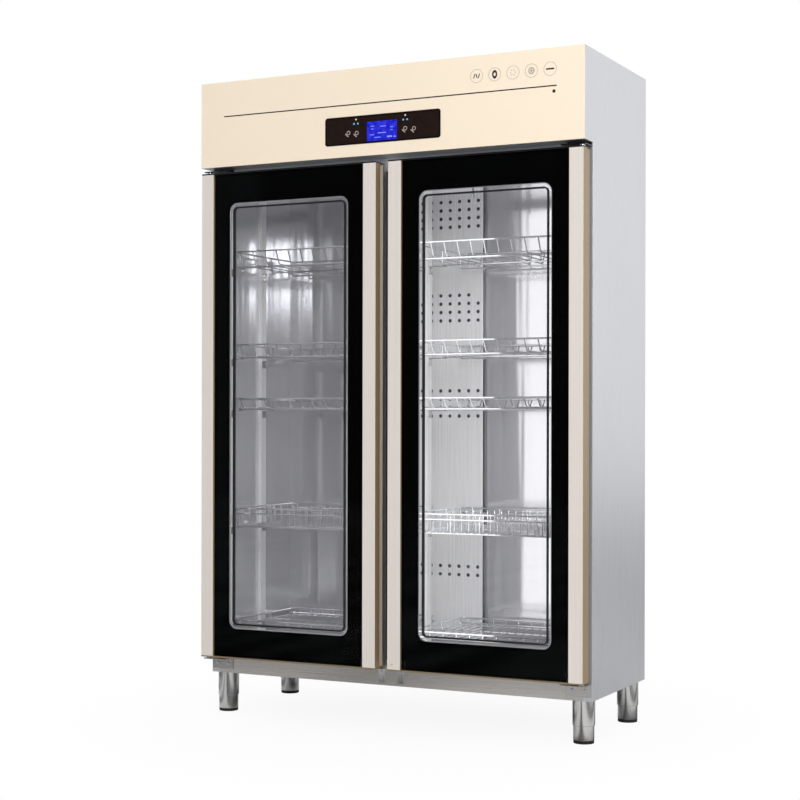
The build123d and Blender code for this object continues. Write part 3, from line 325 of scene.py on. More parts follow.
def blend_colours(finish, share, first, second):
    """A colour between two, by a share from 0 to 1."""
    mix = node(finish, "ShaderNodeMix", data_type="RGBA")
    for socket, value in ((mix.inputs[0], share), (mix.inputs[6], first), (mix.inputs[7], second)):
        if isinstance(value, bpy.types.NodeSocket):
            feed(finish, value, socket)
        else:
            socket.default_value = value
    return mix.outputs[2]


def shade(colour, factor):
    """The same colour, lighter or darker."""
    return [min(1.0, part * factor) for part in colour[:3]] + [1.0]


EDGE_SOFTNESS = 0.8 * MM
EDGE_LIKENESS = (0.86, 0.995)  # of the softened and the real normal, on an edge and on a flat
DRIFT_GRAIN = (3.1, 2.3, 1.7)


def soft_edges(finish, shader, height, strength, depth):
    """Rounds the edges and adds a bump. Gives back a mask that is 1 on an edge."""
    rounded = node(finish, "ShaderNodeBevel", [("Radius", EDGE_SOFTNESS)], samples=4)
    bump = node(finish, "ShaderNodeBump", [("Strength", strength), ("Distance", depth), ("Height", height),
                                           ("Normal", rounded.outputs["Normal"])])
    feed(finish, bump.outputs["Normal"], shader.inputs["Normal"])
    geometry = node(finish, "ShaderNodeNewGeometry")
    likeness = node(finish, "ShaderNodeVectorMath", operation="DOT_PRODUCT")
    feed(finish, rounded.outputs["Normal"], likeness.inputs[0])
    feed(finish, geometry.outputs["Normal"], likeness.inputs[1])
    return between(finish, likeness.outputs["Value"], 1.0, 0.0, *EDGE_LIKENESS)


def textured(name, colour, metallic, roughness, fine, bump=(0.1, 0.2 * MM), vary=0.04, rough_vary=0.06,
             edge_highlight=1.12):
    """The common finish: fine grain, a slow drift of colour, a bump and edges lightened by a painted
    highlight.
    """
    finish, shader = new_finish(name, colour, metallic, roughness)
    fine_grain = grain(finish, fine)
    drift = grain(finish, DRIFT_GRAIN, detail=1.0)
    edges = soft_edges(finish, shader, fine_grain, *bump)
    body = blend_colours(finish, between(finish, drift, 0, 1),
                         shade(colour, 1 - vary), shade(colour, 1 + vary))
    streaked = blend_colours(finish, between(finish, fine_grain, 0, 0.5), body, shade(colour, 1 - 2 * vary))
    # painted highlight: the colour is made lighter on the edges
    highlit_edges = blend_colours(finish, edges, streaked, shade(colour, edge_highlight))
    feed(finish, highlit_edges, shader.inputs["Base Color"])
    rough = between(finish, fine_grain, roughness - rough_vary, roughness + rough_vary)
    feed(finish, rough, shader.inputs["Roughness"])
    return finish, shader


# %% [markdown]
# ## Metals
# Brushed stainless has fine lines along one way only, so its noise is squeezed hard across the lines and
# drawn out along them. Galvanised sheet shows zinc crystals, which a cell pattern gives. Plated wire is
# smooth and bright, and its noise only breaks up the highlight.

# %% Metal finishes
VERTICAL_GRAIN = (1400, 1400, 3)
LEVEL_GRAIN = (3, 1400, 1400)
EVEN_GRAIN = (420, 420, 420)
ZINC_CRYSTALS = 110.0  # across a metre
WAVE_GRAIN = (13, 13, 0.6)
WAVE_STRENGTH = 0.4
WAVE_DEPTH = 5 * MM
BLACKENED_FROM = (0.9, 0.95)  # a height between the doors' lower and upper metal pieces


def galvanised_sheet():
    """Zinc-coated sheet with its crystals."""
    colour = screen(186, 190, 194)
    finish, shader = new_finish("galvanised_steel", colour, 0.7, 0.42)
    place = node(finish, "ShaderNodeTexCoord")
    crystals = node(finish, "ShaderNodeTexVoronoi",
                    [("Vector", place.outputs["Object"]), ("Scale", ZINC_CRYSTALS)])
    crystal = node(finish, "ShaderNodeSeparateColor", [("Color", crystals.outputs["Color"])]).outputs["Red"]
    edges = soft_edges(finish, shader, grain(finish, EVEN_GRAIN), 0.08, 0.2 * MM)
    zinc = blend_colours(finish, crystal, shade(colour, 0.92), shade(colour, 1.06))
    # painted highlight: the colour is lighter on the edges
    feed(finish, blend_colours(finish, edges, zinc, shade(colour, 1.2)), shader.inputs["Base Color"])
    feed(finish, between(finish, crystal, 0.32, 0.5, 0, 1), shader.inputs["Roughness"])
    return finish


def champagne_profile():
    """Anodised profiles: pale champagne in front, painted shade makes the sides gold, painted highlight on
    edges.
    """
    pale, gold = screen(238, 230, 222), screen(162, 137, 103)
    finish, shader = new_finish("champagne_aluminium", pale, 0.15, 0.36)
    lines = grain(finish, VERTICAL_GRAIN)
    edges = soft_edges(finish, shader, lines, 0.05, 0.1 * MM)
    # painted shade: faces that turn to the side get a deeper gold
    place = node(finish, "ShaderNodeTexCoord")
    facing = node(finish, "ShaderNodeSeparateXYZ", [("Vector", place.outputs["Normal"])])
    side_shade_share = node(finish, "ShaderNodeMath", [(0, facing.outputs["X"])], operation="ABSOLUTE")
    tone = blend_colours(finish, between(finish, side_shade_share.outputs["Value"], 0, 1), pale, gold)
    brushed = blend_colours(finish, between(finish, lines, 0, 0.14), tone, screen(150, 134, 110))
    # painted highlight: the edges are made a paler champagne
    feed(finish, blend_colours(finish, edges, brushed, screen(246, 240, 230)), shader.inputs["Base Color"])
    feed(finish, between(finish, lines, 0.3, 0.42), shader.inputs["Roughness"])
    return finish


def polished_lining():
    """Polished sheet, a little wavy, so that what it mirrors is drawn out into upright streaks."""
    finish, shader = textured("liner_steel", screen(226, 226, 230), 0.66, 0.11, VERTICAL_GRAIN,
                              bump=(0.02, 0.05 * MM), vary=0.015, rough_vary=0.02)
    flatness = shader.inputs["Normal"].links[0].from_socket
    waves = node(finish, "ShaderNodeBump", [("Strength", WAVE_STRENGTH), ("Distance", WAVE_DEPTH),
                                            ("Height", grain(finish, WAVE_GRAIN)), ("Normal", flatness)])
    feed(finish, waves.outputs["Normal"], shader.inputs["Normal"])
    return finish


def black_above(name, colour, metallic, roughness, fine):
    """Metal for what sits at the doors' foot, blackened for its twin at the doors' head."""
    finish, shader = textured(name, colour, metallic, roughness, fine, vary=0.03)
    place = node(finish, "ShaderNodeTexCoord")
    spot = node(finish, "ShaderNodeSeparateXYZ", [("Vector", place.outputs["Object"])])
    upper = between(finish, spot.outputs["Z"], 0, 1, *BLACKENED_FROM)
    bright = shader.inputs["Base Color"].links[0].from_socket
    feed(finish, blend_colours(finish, upper, bright, screen(20, 20, 21)), shader.inputs["Base Color"])
    feed(finish, between(finish, upper, metallic, 0.1, 0, 1), shader.inputs["Metallic"])
    return finish


FINISHES = {
    "case_steel": textured("case_steel", screen(214, 215, 219), 0.7, 0.32, VERTICAL_GRAIN,
                           bump=(0.05, 0.1 * MM), vary=0.015)[0],
    "liner_steel": polished_lining(),
    "bright_wire": textured("bright_wire", screen(222, 222, 225), 0.8, 0.2, EVEN_GRAIN,
                            bump=(0.03, 0.05 * MM), vary=0.03)[0],
    "bright_steel": textured("bright_steel", screen(208, 207, 206), 0.95, 0.13, EVEN_GRAIN,
                             bump=(0.03, 0.05 * MM), vary=0.03, rough_vary=0.03)[0],
    "heater_steel": textured("heater_steel", screen(120, 108, 98), 0.8, 0.38, EVEN_GRAIN, vary=0.12)[0],
    "wheel_aluminium": textured("wheel_aluminium", screen(196, 199, 203), 0.8, 0.4, EVEN_GRAIN)[0],
    "galvanised_steel": galvanised_sheet(),
    "champagne_aluminium": champagne_profile(),
}
print("metal finishes", sorted(FINISHES))

# %% [markdown]
# ## Paint, glass, rubber and the control panel
# The fascia is sprayed cream, with the faint dimpling of a sprayed coat. The glass lets light straight
# through most of its surface and mirrors the rest, so the chamber behind it stays lit. The panel is a
# smoked lens whose border is printed black, and the display behind it glows blue with faint marks.

# %% Painted, moulded and glass finishes
MIRRORED_SHARE = (0.007, 0.5)  # of the light, seen straight on and at a slant
SLANT = (0.45, 1.0)
LENS_BORDER = 4 * MM
LENS_FADE = 2 * MM  # over which the brown turns black


def cream_paint():
    """Sprayed cream with a light dimple."""
    finish, shader = textured("fascia_paint", screen(250, 234, 211), 0.0, 0.3, (260, 260, 260),
                              bump=(0.05, 0.15 * MM), vary=0.008, rough_vary=0.04, edge_highlight=1.02)
    shader.inputs["Coat Weight"].default_value = 0.25
    shader.inputs["Coat Roughness"].default_value = 0.12
    return finish


def door_glass():
    """Clear pane: nearly all light passes straight on, and more is mirrored at a slant."""
    finish, shader = new_finish("clear_glass", screen(226, 236, 232), 1.0, 0.03)
    smear = grain(finish, (7, 7, 4), detail=4.0)
    feed(finish, between(finish, smear, 0.015, 0.06), shader.inputs["Roughness"])
    slant = node(finish, "ShaderNodeLayerWeight", [("Blend", 0.5)])
    feed(finish, between(finish, slant.outputs["Facing"], *MIRRORED_SHARE, *SLANT), shader.inputs["Alpha"])
    return finish


def printed_enamel():
    """Black enamel fired onto the back of the glass, so it has no gloss of its own."""
    finish, shader = textured("black_enamel", screen(4, 4, 5), 0.0, 0.8, (90, 90, 90), vary=0.2, edge_highlight=1.0)
    shader.inputs["Specular IOR Level"].default_value = 0.0
    return finish


def smoked_lens():
    """Brown-black glossy panel with a printed black border."""
    low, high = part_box("control_lens")
    middle = (low.z + high.z) / 2
    half_width = high.x - LENS_BORDER
    half_height = (high.z - low.z) / 2 - LENS_BORDER
    finish, shader = new_finish("dark_lens", screen(30, 18, 15), 0.0, 0.12)
    place = node(finish, "ShaderNodeTexCoord")
    spot = node(finish, "ShaderNodeSeparateXYZ", [("Vector", place.outputs["Object"])])
    across = node(finish, "ShaderNodeMath", [(0, spot.outputs["X"])], operation="ABSOLUTE").outputs["Value"]
    rise = node(finish, "ShaderNodeMath", [(0, spot.outputs["Z"]), (1, middle)], operation="SUBTRACT")
    up = node(finish, "ShaderNodeMath", [(0, rise.outputs["Value"])], operation="ABSOLUTE").outputs["Value"]
    past_side = between(finish, across, 0, 1, half_width - LENS_FADE, half_width)
    past_top = between(finish, up, 0, 1, half_height - LENS_FADE, half_height)
    border = node(finish, "ShaderNodeMath", [(0, past_side), (1, past_top)], operation="MAXIMUM")
    dust = grain(finish, (60, 60, 60), detail=5.0)
    brown = blend_colours(finish, between(finish, dust, 0, 1), screen(28, 16, 13), screen(36, 22, 18))
    printed = blend_colours(finish, border.outputs["Value"], brown, screen(5, 4, 4))
    feed(finish, printed, shader.inputs["Base Color"])
    feed(finish, between(finish, dust, 0.08, 0.16), shader.inputs["Roughness"])
    return finish


def lit_display():
    """Blue liquid crystal with a faint unevenness."""
    finish, shader = new_finish("blue_display", screen(8, 8, 60), 0.0, 0.2)
    cloud = grain(finish, (70, 70, 90), detail=3.0)
    brighter = between(finish, cloud, 0, 1, 0.35, 0.75)
    glow = blend_colours(finish, brighter, screen(14, 14, 205), screen(60, 66, 232))
    feed(finish, glow, shader.inputs["Emission Color"])
    shader.inputs["Emission Strength"].default_value = 0.85
    return finish


def glowing(name, colour, strength):
    """Small lit mark with a soft unevenness."""
    finish, shader = new_finish(name, colour, 0.0, 0.4)
    spots = grain(finish, (300, 300, 300))
    glow = blend_colours(finish, between(finish, spots, 0, 1), shade(colour, 0.85), colour)
    feed(finish, glow, shader.inputs["Emission Color"])
    feed(finish, glow, shader.inputs["Base Color"])
    shader.inputs["Emission Strength"].default_value = strength
    return finish


FINISHES.update({
    "fascia_paint": cream_paint(),
    "clear_glass": door_glass(),
    "dark_lens": smoked_lens(),
    "blue_display": lit_display(),
    "black_enamel": printed_enamel(),
    # the rubber here and the nylon below get a strong painted highlight on their edges
    "dark_rubber": textured("dark_rubber", screen(34, 31, 29), 0.0, 0.62, (700, 700, 700),
                            bump=(0.3, 0.3 * MM), vary=0.12, edge_highlight=1.6)[0],
    "circuit_board": textured("circuit_board", screen(28, 92, 58), 0.0, 0.35, (160, 160, 160), vary=0.15)[0],
    "mineral_wool": textured("mineral_wool", screen(190, 178, 132), 0.0, 0.95, (240, 240, 60),
                             bump=(0.8, 2 * MM), vary=0.15)[0],
    "grey_paint": textured("grey_paint", screen(132, 136, 140), 0.1, 0.45, (500, 500, 500), vary=0.05)[0],
    "black_nylon": textured("black_nylon", screen(27, 27, 29), 0.0, 0.5, (600, 600, 600),
                            vary=0.1, edge_highlight=1.6)[0],
})
PRINT_BLACK = textured("print_black", screen(24, 22, 20), 0.0, 0.5, (800, 800, 800), vary=0.1)[0]
PRINT_GREY = textured("print_grey", screen(176, 170, 160), 0.0, 0.5, (800, 800, 800), vary=0.06)[0]
KEY_GREY = glowing("key_grey", screen(176, 166, 156), 0.3)
LAMP_WHITE = glowing("lamp_white", screen(206, 190, 180), 0.3)
LAMP_CYAN = glowing("lamp_cyan", screen(84, 168, 204), 0.6)
DISPLAY_MARK = glowing("display_mark", screen(112, 128, 246), 0.7)
print("all finishes", len(FINISHES))

# %% [markdown]
# ## Dressing the pieces that come in with the frame
# Most pieces take the finish of their material. A few look different on the real cabinet though the metal
# is the same: the bottom rail is brushed from end to end and a little darker with painted shade, the duct
# panel is matt, the shelf uprights are made white with painted light, the front top rail under the fascia
# is made pale with painted light, the doors' lower end caps are a deeper gold, and the upper end caps and
# upper hinge brackets are blackened. They get a finish of their own by name.

# %% Finishes for single pieces, and dressing
OWN_FINISHES = {
    # painted shade: the bottom rail's steel is a little darker than the case; it is also brushed end to end
    "front_bottom_rail": textured("rail_steel", screen(204, 201, 197), 0.75, 0.3, LEVEL_GRAIN, vary=0.03)[0],
    # painted light: the steel uprights are made white and matt, so that they look lit
    "shelf_uprights": textured("upright_painted_light", screen(246, 246, 247), 0.1, 0.25, VERTICAL_GRAIN,
                               vary=0.02)[0],
    # painted light: the top rail, in its recess under the fascia, is made pale and less metallic so it looks
    # lit
    "front_top_rail": textured("top_rail_painted_light", screen(238, 240, 245), 0.25, 0.3, LEVEL_GRAIN, vary=0.02)[0],
    "hinge_brackets": black_above("bracket_plate", screen(182, 181, 180), 0.85, 0.2, EVEN_GRAIN),
    "left_door_end_caps": black_above("cap_gold", screen(150, 130, 102), 0.3, 0.35, LEVEL_GRAIN),
}
OWN_FINISHES["right_door_end_caps"] = OWN_FINISHES["left_door_end_caps"]
DUCT_STEEL = textured("duct_steel", screen(240, 240, 242), 0.15, 0.28, VERTICAL_GRAIN, vary=0.015)[0]
# painted shade: a dark steel for the cover's flanks
DUCT_FLANK_SHADE = textured("duct_flank_shade", screen(92, 92, 95), 0.6, 0.3, VERTICAL_GRAIN, vary=0.05)[0]

for part in frame["record"]["subparts"]:
    piece = frame["nodes"][part["node"]]
    finish = OWN_FINISHES.get(part["node"], FINISHES[part["material_slot"]])
    if not piece.material_slots:
        piece.data.materials.append(finish)
    for place in piece.material_slots:
        place.material = finish
print("dressed", len(frame["nodes"]), "pieces")

# %% [markdown]
# ## Baskets
# The baskets are welded from plated wire. Cross wires turn up at both ends to carry the rim, and the bars
# of the base run front to back, turn up at both ends and meet the rim from below. One bar is bent and the
# rest of the row is copied, because that is how the welder's jig is loaded. The right-hand basket is made,
# then mirrored for the left.

# %% Wire sizes and the room for a basket
RIM = 5 * MM
BAR = 4 * MM
PIN = 3 * MM
CLIP_HALF = 10 * MM
clip_low, clip_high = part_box("shelf_clips")
CARRIER_YS = (clip_low.y + CLIP_HALF, clip_high.y - CLIP_HALF)


def basket_room(name):
    """Lowest and highest corner of the right-hand basket of a pair."""
    low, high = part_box(name)
    inner = min(vertex.co.x for vertex in frame["nodes"][name].data.vertices if vertex.co.x > 0)
    return Vector((inner, low.y, low.z)), high


def spacing(low, high, pitch):
    """How many wires stand between two sides, the first one's place, and the step."""
    start, end = low.x + RIM, high.x - RIM
    count = round((end - start) / pitch)
    step = (end - start) / count
    return count, start + step / 2, step


# %% [markdown]
# ## The frame that all baskets share
# On the real basket the rim carries the load, and a few cross wires turn up to meet it. The frame is a
# function, because the bowl baskets and both kinds of rack start from it.

# %% Frame of a basket
RIM_BEND = 12 * MM
FOOT_BEND = 9 * MM
LEAN = 18 * MM  # how far the foot of a bar stands inside the rim


def basket_frame(low, high):
    """The rim and the cross wires that turn up to carry it."""
    half = RIM / 2
    rim = wire_loop(low.x + half, high.x - half, low.y + half, high.y - half, high.z - half, half, RIM_BEND)
    wires = [rim]
    for y in (low.y + half + LEAN, *CARRIER_YS, high.y - half - LEAN):
        path = [(low.x + half, y, high.z - RIM), (low.x + half, y, low.z + half),
                (high.x - half, y, low.z + half), (high.x - half, y, high.z - RIM)]
        wires.append(bent_wire(path, half, FOOT_BEND))
    return wires


# %% [markdown]
# ## Bowl baskets
# A basket's base is a row of bars that lean in from the rim. Each bar could be drawn by itself, but one
# bent bar and an array give the even pitch of a welder's jig.

# %% Three pairs of bowl baskets
BOWL_PITCH = 41 * MM
BAR_BEND = 14 * MM


def bowl_bars(low, high):
    """Bars that lean in from the rim, turn along the base and lean out again."""
    count, x, step = spacing(low, high, BOWL_PITCH)
    front, back = low.y + RIM / 2, high.y - RIM / 2
    floor = low.z + RIM + BAR / 2
    path = [(x, front, high.z - RIM), (x, front + LEAN, floor),
            (x, back - LEAN, floor), (x, back, high.z - RIM)]
    return in_a_row(bent_wire(path, BAR / 2, BAR_BEND), count, (step, 0, 0))


for number in (1, 2, 3):
    name = f"bowl_baskets_{number}"
    low, high = basket_room(name)
    pair = on_both_sides(joined([*basket_frame(low, high), bowl_bars(low, high)]))
    finish_piece(pair, f"bowl_basket_wires_{number}", "bright_wire", "root", name)

# %% [markdown]
# ## Plate racks and tray racks
# The plate racks have a second rim wire, and rows of upright pins keep apart what is stood on edge. The
# tray racks are low, with a close floor and short posts along the front and the back. Both start from the
# same frame.

# %% Plate racks
PLATE_PITCH = 22 * MM
END_PINS = 6
RIM_STEP = 15 * MM


def second_rim(low, high, drop):
    """A lower wire along the front and the back."""
    z = high.z - RIM / 2 - drop
    return [bent_wire([(low.x, y, z), (high.x, y, z)], RIM / 2) for y in (low.y + RIM / 2, high.y - RIM / 2)]


def floor_bars(low, high, pitch, setback):
    """Straight bars on the cross wires, from front to back."""
    count, x, step = spacing(low, high, pitch)
    z = low.z + RIM + PIN / 2
    bar = bent_wire([(x, low.y + setback, z), (x, high.y - setback, z)], PIN / 2)
    return in_a_row(bar, count, (step, 0, 0))


def upright_pins(x, y, low_z, high_z, count, step):
    """A row of pins with rounded tips."""
    tip = PIN / 3
    profile = [(PIN / 2, low_z), (PIN / 2, high_z - tip), (PIN / 4, high_z)]
    return in_a_row(turned(profile, (x, y, 0), sides=8), count, (step, 0, 0))


low, high = basket_room("plate_racks")
count, first, step = spacing(low, high, PLATE_PITCH)
wires = basket_frame(low, high) + second_rim(low, high, RIM_STEP)
wires.append(floor_bars(low, high, PLATE_PITCH, RIM))
pin_foot = low.z + RIM + PIN
for y in CARRIER_YS:
    wires.append(upright_pins(first, y, pin_foot, high.z, count, step))
skip = round(count / END_PINS)
for y in (low.y + RIM + PIN / 2, high.y - RIM - PIN / 2):
    wires.append(upright_pins(first + step, y, pin_foot, high.z, END_PINS, step * skip))
finish_piece(on_both_sides(joined(wires)), "plate_rack_wires", "bright_wire", "root", "plate_racks")

# %% [markdown]
# ## Tray racks
# A tray rack is the same frame with a close floor, a lower wire along its front and back, and short posts
# under the rim. Every part of it was already made as a helper, so it is only put together here.

# %% Tray racks
TRAY_PITCH = 26 * MM
POST_PITCH = 41 * MM

low, high = basket_room("tray_racks")
wires = basket_frame(low, high) + second_rim(low, high, RIM_STEP)
wires.append(floor_bars(low, high, TRAY_PITCH, RIM / 2 + LEAN))
count, first, step = spacing(low, high, POST_PITCH)
for y in (low.y + RIM / 2, high.y - RIM / 2):
    wires.append(upright_pins(first, y, low.z + RIM, high.z - RIM, count, step))
finish_piece(on_both_sides(joined(wires)), "tray_rack_wires", "bright_wire", "root", "tray_racks")

# %% [markdown]
# ## Door windows
# A pressed steel plate closes the back of each door. Its lip comes just past the dark border, and shows
# there as a thin bright line round the clear window, while a thin dark spacer a little further in carries
# the second pane. Each ring of the plate is a flat solid with the window cut out of it, because one rounded
# cutter serves all of them.

# %% Inner plates and spacers
SHEET = 1 * MM
SHEET_EDGE = 0.15 * MM
WINDOW_CORNER = 25 * MM
PANE_INSET = 15 * MM  # second pane inside the window's edge
SPACER_INSET = 11 * MM
SPACER_WIDTH = 1.5 * MM
PLATE_LIP = 2.2 * MM  # how far the plate shows past the dark border
PLATE_REVEAL = 22 * MM  # the plate's own opening, outside the window's edge


def window_block(low, high, inset, front, back):
    """A solid with the window's rounded outline, that far inside it."""
    centre = ((low.x + high.x) / 2, front, (low.z + high.z) / 2)
    width = high.x - low.x - 2 * inset
    height = high.z - low.z - 2 * inset
    return plate(centre, width, height, WINDOW_CORNER - inset, back - front)


def window_ring(low, high, outer, inner, front, back):
    """A flat ring between two outlines concentric with the window."""
    return cut_away(window_block(low, high, outer, front, back),
                    window_block(low, high, inner, front - SHEET, back + SHEET))


for side in ("left", "right"):
    pane_low, pane_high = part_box(f"{side}_door_inner_glass")
    glass_low, glass_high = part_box(f"{side}_door_glass")
    plate_low, plate_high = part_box(f"{side}_door_inner_plate")
    low = pane_low - Vector((PANE_INSET, 0, PANE_INSET))
    high = pane_high + Vector((PANE_INSET, 0, PANE_INSET))
    front, back = plate_low.y, plate_high.y
    lip = window_ring(low, high, -PLATE_REVEAL, PLATE_LIP, front, front + SHEET)
    reveal = window_ring(low, high, -PLATE_REVEAL, SHEET - PLATE_REVEAL, front + SHEET, back)
    sheet = slab((glass_low.x, back - SHEET, glass_low.z), (glass_high.x, back, glass_high.z), SHEET_EDGE)
    rear = cut_away(sheet, window_block(low, high, -PLATE_REVEAL, back - 2 * SHEET, back + SHEET))
    finish_piece(joined([lip, reveal, rear]), f"{side}_door_pressed_plate", "liner_steel", f"{side}_door",
                 f"{side}_door_inner_plate")
    spacer = window_ring(low, high, SPACER_INSET, SPACER_INSET + SPACER_WIDTH, glass_high.y, front + SHEET)
    finish_piece(spacer, f"{side}_door_window_spacer", "dark_rubber", f"{side}_door")

# %% [markdown]
# ## Perforated duct cover
# Hot air comes down behind a narrow panel on the back wall and out through groups of round holes. The panel
# is a thin slab, and one punch is copied into rows and columns and cut away, as a turret press does it. The
# frame's panel has eight-sided holes, and round ones take its place here.

# %% Punch the duct cover
HOLE_RADIUS = 5.5 * MM
HOLE_PITCH_X = 31 * MM
HOLE_PITCH_Z = 25.5 * MM
FLANK_AREA = 0.01  # square metres, less than one flank of the cover
# the height of each group's top row, and how many holes its rows have
HOLE_GROUPS = {1.532: (7, 7, 7, 7), 1.248: (5, 7, 7, 7), 0.9585: (7, 7, 7, 7), 0.427: (7, 7)}

duct_low, duct_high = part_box("duct_cover")
behind = duct_low.y + SHEET
panel_high = (duct_high.x, behind, duct_high.z)
panel = slab(duct_low, panel_high, SHEET_EDGE)
punches = []
for top, rows in HOLE_GROUPS.items():
    for row, columns in enumerate(rows):
        first_x = -HOLE_PITCH_X * (columns - 1) / 2
        profile = [(HOLE_RADIUS, -2 * SHEET), (HOLE_RADIUS, 2 * SHEET)]
        punch = turned(profile, (first_x, duct_low.y, top - row * HOLE_PITCH_Z), FRONT_FACING, sides=20)
        punches.append(in_a_row(punch, columns, (HOLE_PITCH_X, 0, 0)))
cut_away(panel, joined(punches))
sides = [
    slab((duct_low.x, behind, duct_low.z), (duct_low.x + SHEET, duct_high.y, duct_high.z), SHEET_EDGE),
    slab((duct_high.x - SHEET, behind, duct_low.z), duct_high, SHEET_EDGE),
    slab((duct_low.x + SHEET, behind, duct_low.z),
         (duct_high.x - SHEET, duct_high.y, duct_low.z + SHEET), SHEET_EDGE),
]
cover = finish_piece(joined([panel, *sides]), "duct_cover_punched", "liner_steel", "root", "duct_cover")
cover.data.materials[0] = DUCT_STEEL
cover.data.materials.append(DUCT_FLANK_SHADE)
# the large side faces, the flanks, get the painted shade
for face in cover.data.polygons:
    if abs(face.normal.x) > 0.9 and face.area > FLANK_AREA:
        face.material_index = 1

# %% [markdown]
# ## Legs and levelling feet
# Each leg is a short steel tube with a rolled lower lip, and a cup on a ribbed rubber pad slides in it to
# level the cabinet. All of them are round, so they are turned. The cup and its pad ride on the foot's own
# body.

# %% Leg tubes
leg_low, leg_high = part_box("leg_tubes")
LEG_RADIUS = 30.5 * MM
LEG_BORE = 28.7 * MM
LEG_CAP = 3 * MM
LIP = 0.6 * MM
leg_places = {}
for row in ("front", "back"):
    for side in ("left", "right"):
        foot_low, foot_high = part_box(f"foot_{row}_{side}")
        leg_places[f"foot_{row}_{side}"] = ((foot_low.x + foot_high.x) / 2, (foot_low.y + foot_high.y) / 2, 0)

tubes = []
for place in leg_places.values():
    profile = [
        (LEG_BORE, leg_high.z - LEG_CAP), (LEG_BORE, leg_low.z + LIP), (LEG_BORE + LIP, leg_low.z),
        (LEG_RADIUS - LIP, leg_low.z), (LEG_RADIUS, leg_low.z + LIP), (LEG_RADIUS, leg_high.z),
    ]
    tubes.append(turned(profile, place, sides=48))
finish_piece(joined(tubes), "leg_tube_shells", "bright_steel", "root", "leg_tubes")

# %% [markdown]
# ## Levelling feet
# The cup is short and open at the top, and the pad below it has moulded ribs. Both are turned, and each
# foot's cup and pad ride on the foot's own body, so that they slide together in the leg.

# %% Levelling feet
CUP_RADIUS = 28.4 * MM
CUP_TOP = 90 * MM
CUP_WALL = 2 * MM
PAD_RADIUS = 28.2 * MM
PAD_TOP = 8.5 * MM
RIB = 0.7 * MM

for name, place in leg_places.items():
    cup = turned([
        (CUP_RADIUS - LIP, PAD_TOP), (CUP_RADIUS, PAD_TOP + LIP), (CUP_RADIUS, CUP_TOP),
        (CUP_RADIUS - CUP_WALL, CUP_TOP), (CUP_RADIUS - CUP_WALL, PAD_TOP + CUP_WALL),
    ], place, sides=48)
    finish_piece(cup, f"{name}_cup", "bright_steel", name, name)
    pad = turned([
        (PAD_RADIUS - RIB, 0), (PAD_RADIUS, RIB), (PAD_RADIUS, 2 * RIB), (PAD_RADIUS - RIB, 3 * RIB),
        (PAD_RADIUS, 4 * RIB), (PAD_RADIUS, 5 * RIB), (PAD_RADIUS - RIB, 6 * RIB), (PAD_RADIUS, 7 * RIB),
        (PAD_RADIUS, PAD_TOP),
    ], place, sides=48)
    finish_piece(pad, f"{name}_pad", "dark_rubber", name)

# %% [markdown]
# ## Control panel
# The smoked lens stands a hair proud of the fascia. Its keys are printed signs with small lamps above them,
# and the display sits in its opening. The marks are thin plates on the lens, so they hold their edges close
# up.

# %% Lens
lens_low, lens_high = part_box("control_lens")
display_low, display_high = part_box("display_module")
PRINT = 0.1 * MM
LENS_CORNER = 8 * MM
DISPLAY_FIT = 0.3 * MM

lens_front = lens_low.y + 2 * PRINT
lens_centre = ((lens_low.x + lens_high.x) / 2, lens_front, (lens_low.z + lens_high.z) / 2)
lens = plate(lens_centre, lens_high.x - lens_low.x, lens_high.z - lens_low.z, LENS_CORNER,
             lens_high.y - lens_front)
opening = slab((display_low.x - DISPLAY_FIT, lens_low.y - SHEET, display_low.z - DISPLAY_FIT),
               (display_high.x + DISPLAY_FIT, lens_high.y + SHEET, display_high.z + DISPLAY_FIT), SHEET_EDGE)
cut_away(lens, opening)
finish_piece(lens, "control_lens_smoked", "dark_lens", "root", "control_lens")


# %% [markdown]
# ## Key signs and lamps
# The keys are printed signs that glow faintly on the lens. A texture could draw them, but thin meshes stay
# sharp close up. Each key gets a ring with a short stem, and small round lamps stand above.

# %% Keys, lamps and display marks
def print_marks(pieces, name, material, slot):
    """Joins printed marks and gives them their ink or light."""
    marks = finish_piece(joined(pieces), name, slot, "root")
    marks.data.materials[0] = material
    return marks


def dot(x, z, radius, front):
    """A small round mark that faces the front."""
    return turned([(radius, 0), (radius, PRINT)], (x, front + PRINT, z), FRONT_FACING, sides=20)


KEY_PLACES = ((-106.0, 1678.8), (-79.5, 1676.8), (72.9, 1678.5), (99.8, 1676.4))
WHITE_LAMPS = ((-81.9, 1715.0), (72.8, 1715.0))
CYAN_LAMPS = ((-88.2, 1703.0), (-75.8, 1703.0), (66.7, 1703.0), (79.0, 1703.0))
KEY_RING = 10 * MM
KEY_LINE = 1.6 * MM
KEY_STEM = (13 * MM, 2.2 * MM)
STEM_X, STEM_Z = -5.0, -7.0  # from the ring's middle, like the places above in millimetres
STEM_CORNER = 0.6 * MM
STEM_TILT = math.radians(40)
LAMP_RADIUS = 2.6 * MM

mark_front = lens_front - PRINT
signs = []
for x, z in KEY_PLACES:
    centre = (x * MM, mark_front + PRINT / 2, z * MM)
    signs.append(flat_ring(centre, KEY_RING, KEY_LINE, PRINT))
    stem = ((x + STEM_X) * MM, mark_front, (z + STEM_Z) * MM)
    signs.append(plate(stem, *KEY_STEM, STEM_CORNER, PRINT, tilt=STEM_TILT))
print_marks(signs, "key_signs", KEY_GREY, "dark_lens")
white = [dot(x * MM, z * MM, LAMP_RADIUS, mark_front) for x, z in WHITE_LAMPS]
print_marks(white, "key_lamps_white", LAMP_WHITE, "dark_lens")
cyan = [dot(x * MM, z * MM, LAMP_RADIUS, mark_front) for x, z in CYAN_LAMPS]
print_marks(cyan, "key_lamps_cyan", LAMP_CYAN, "dark_lens")

# %% [markdown]
# ## Marks on the display
# A lit display is never evenly blue. Short bars in a lighter blue stand where its readings would be, and
# say nothing.

# %% Bars on the display
BAR_CORNER = 0.8 * MM
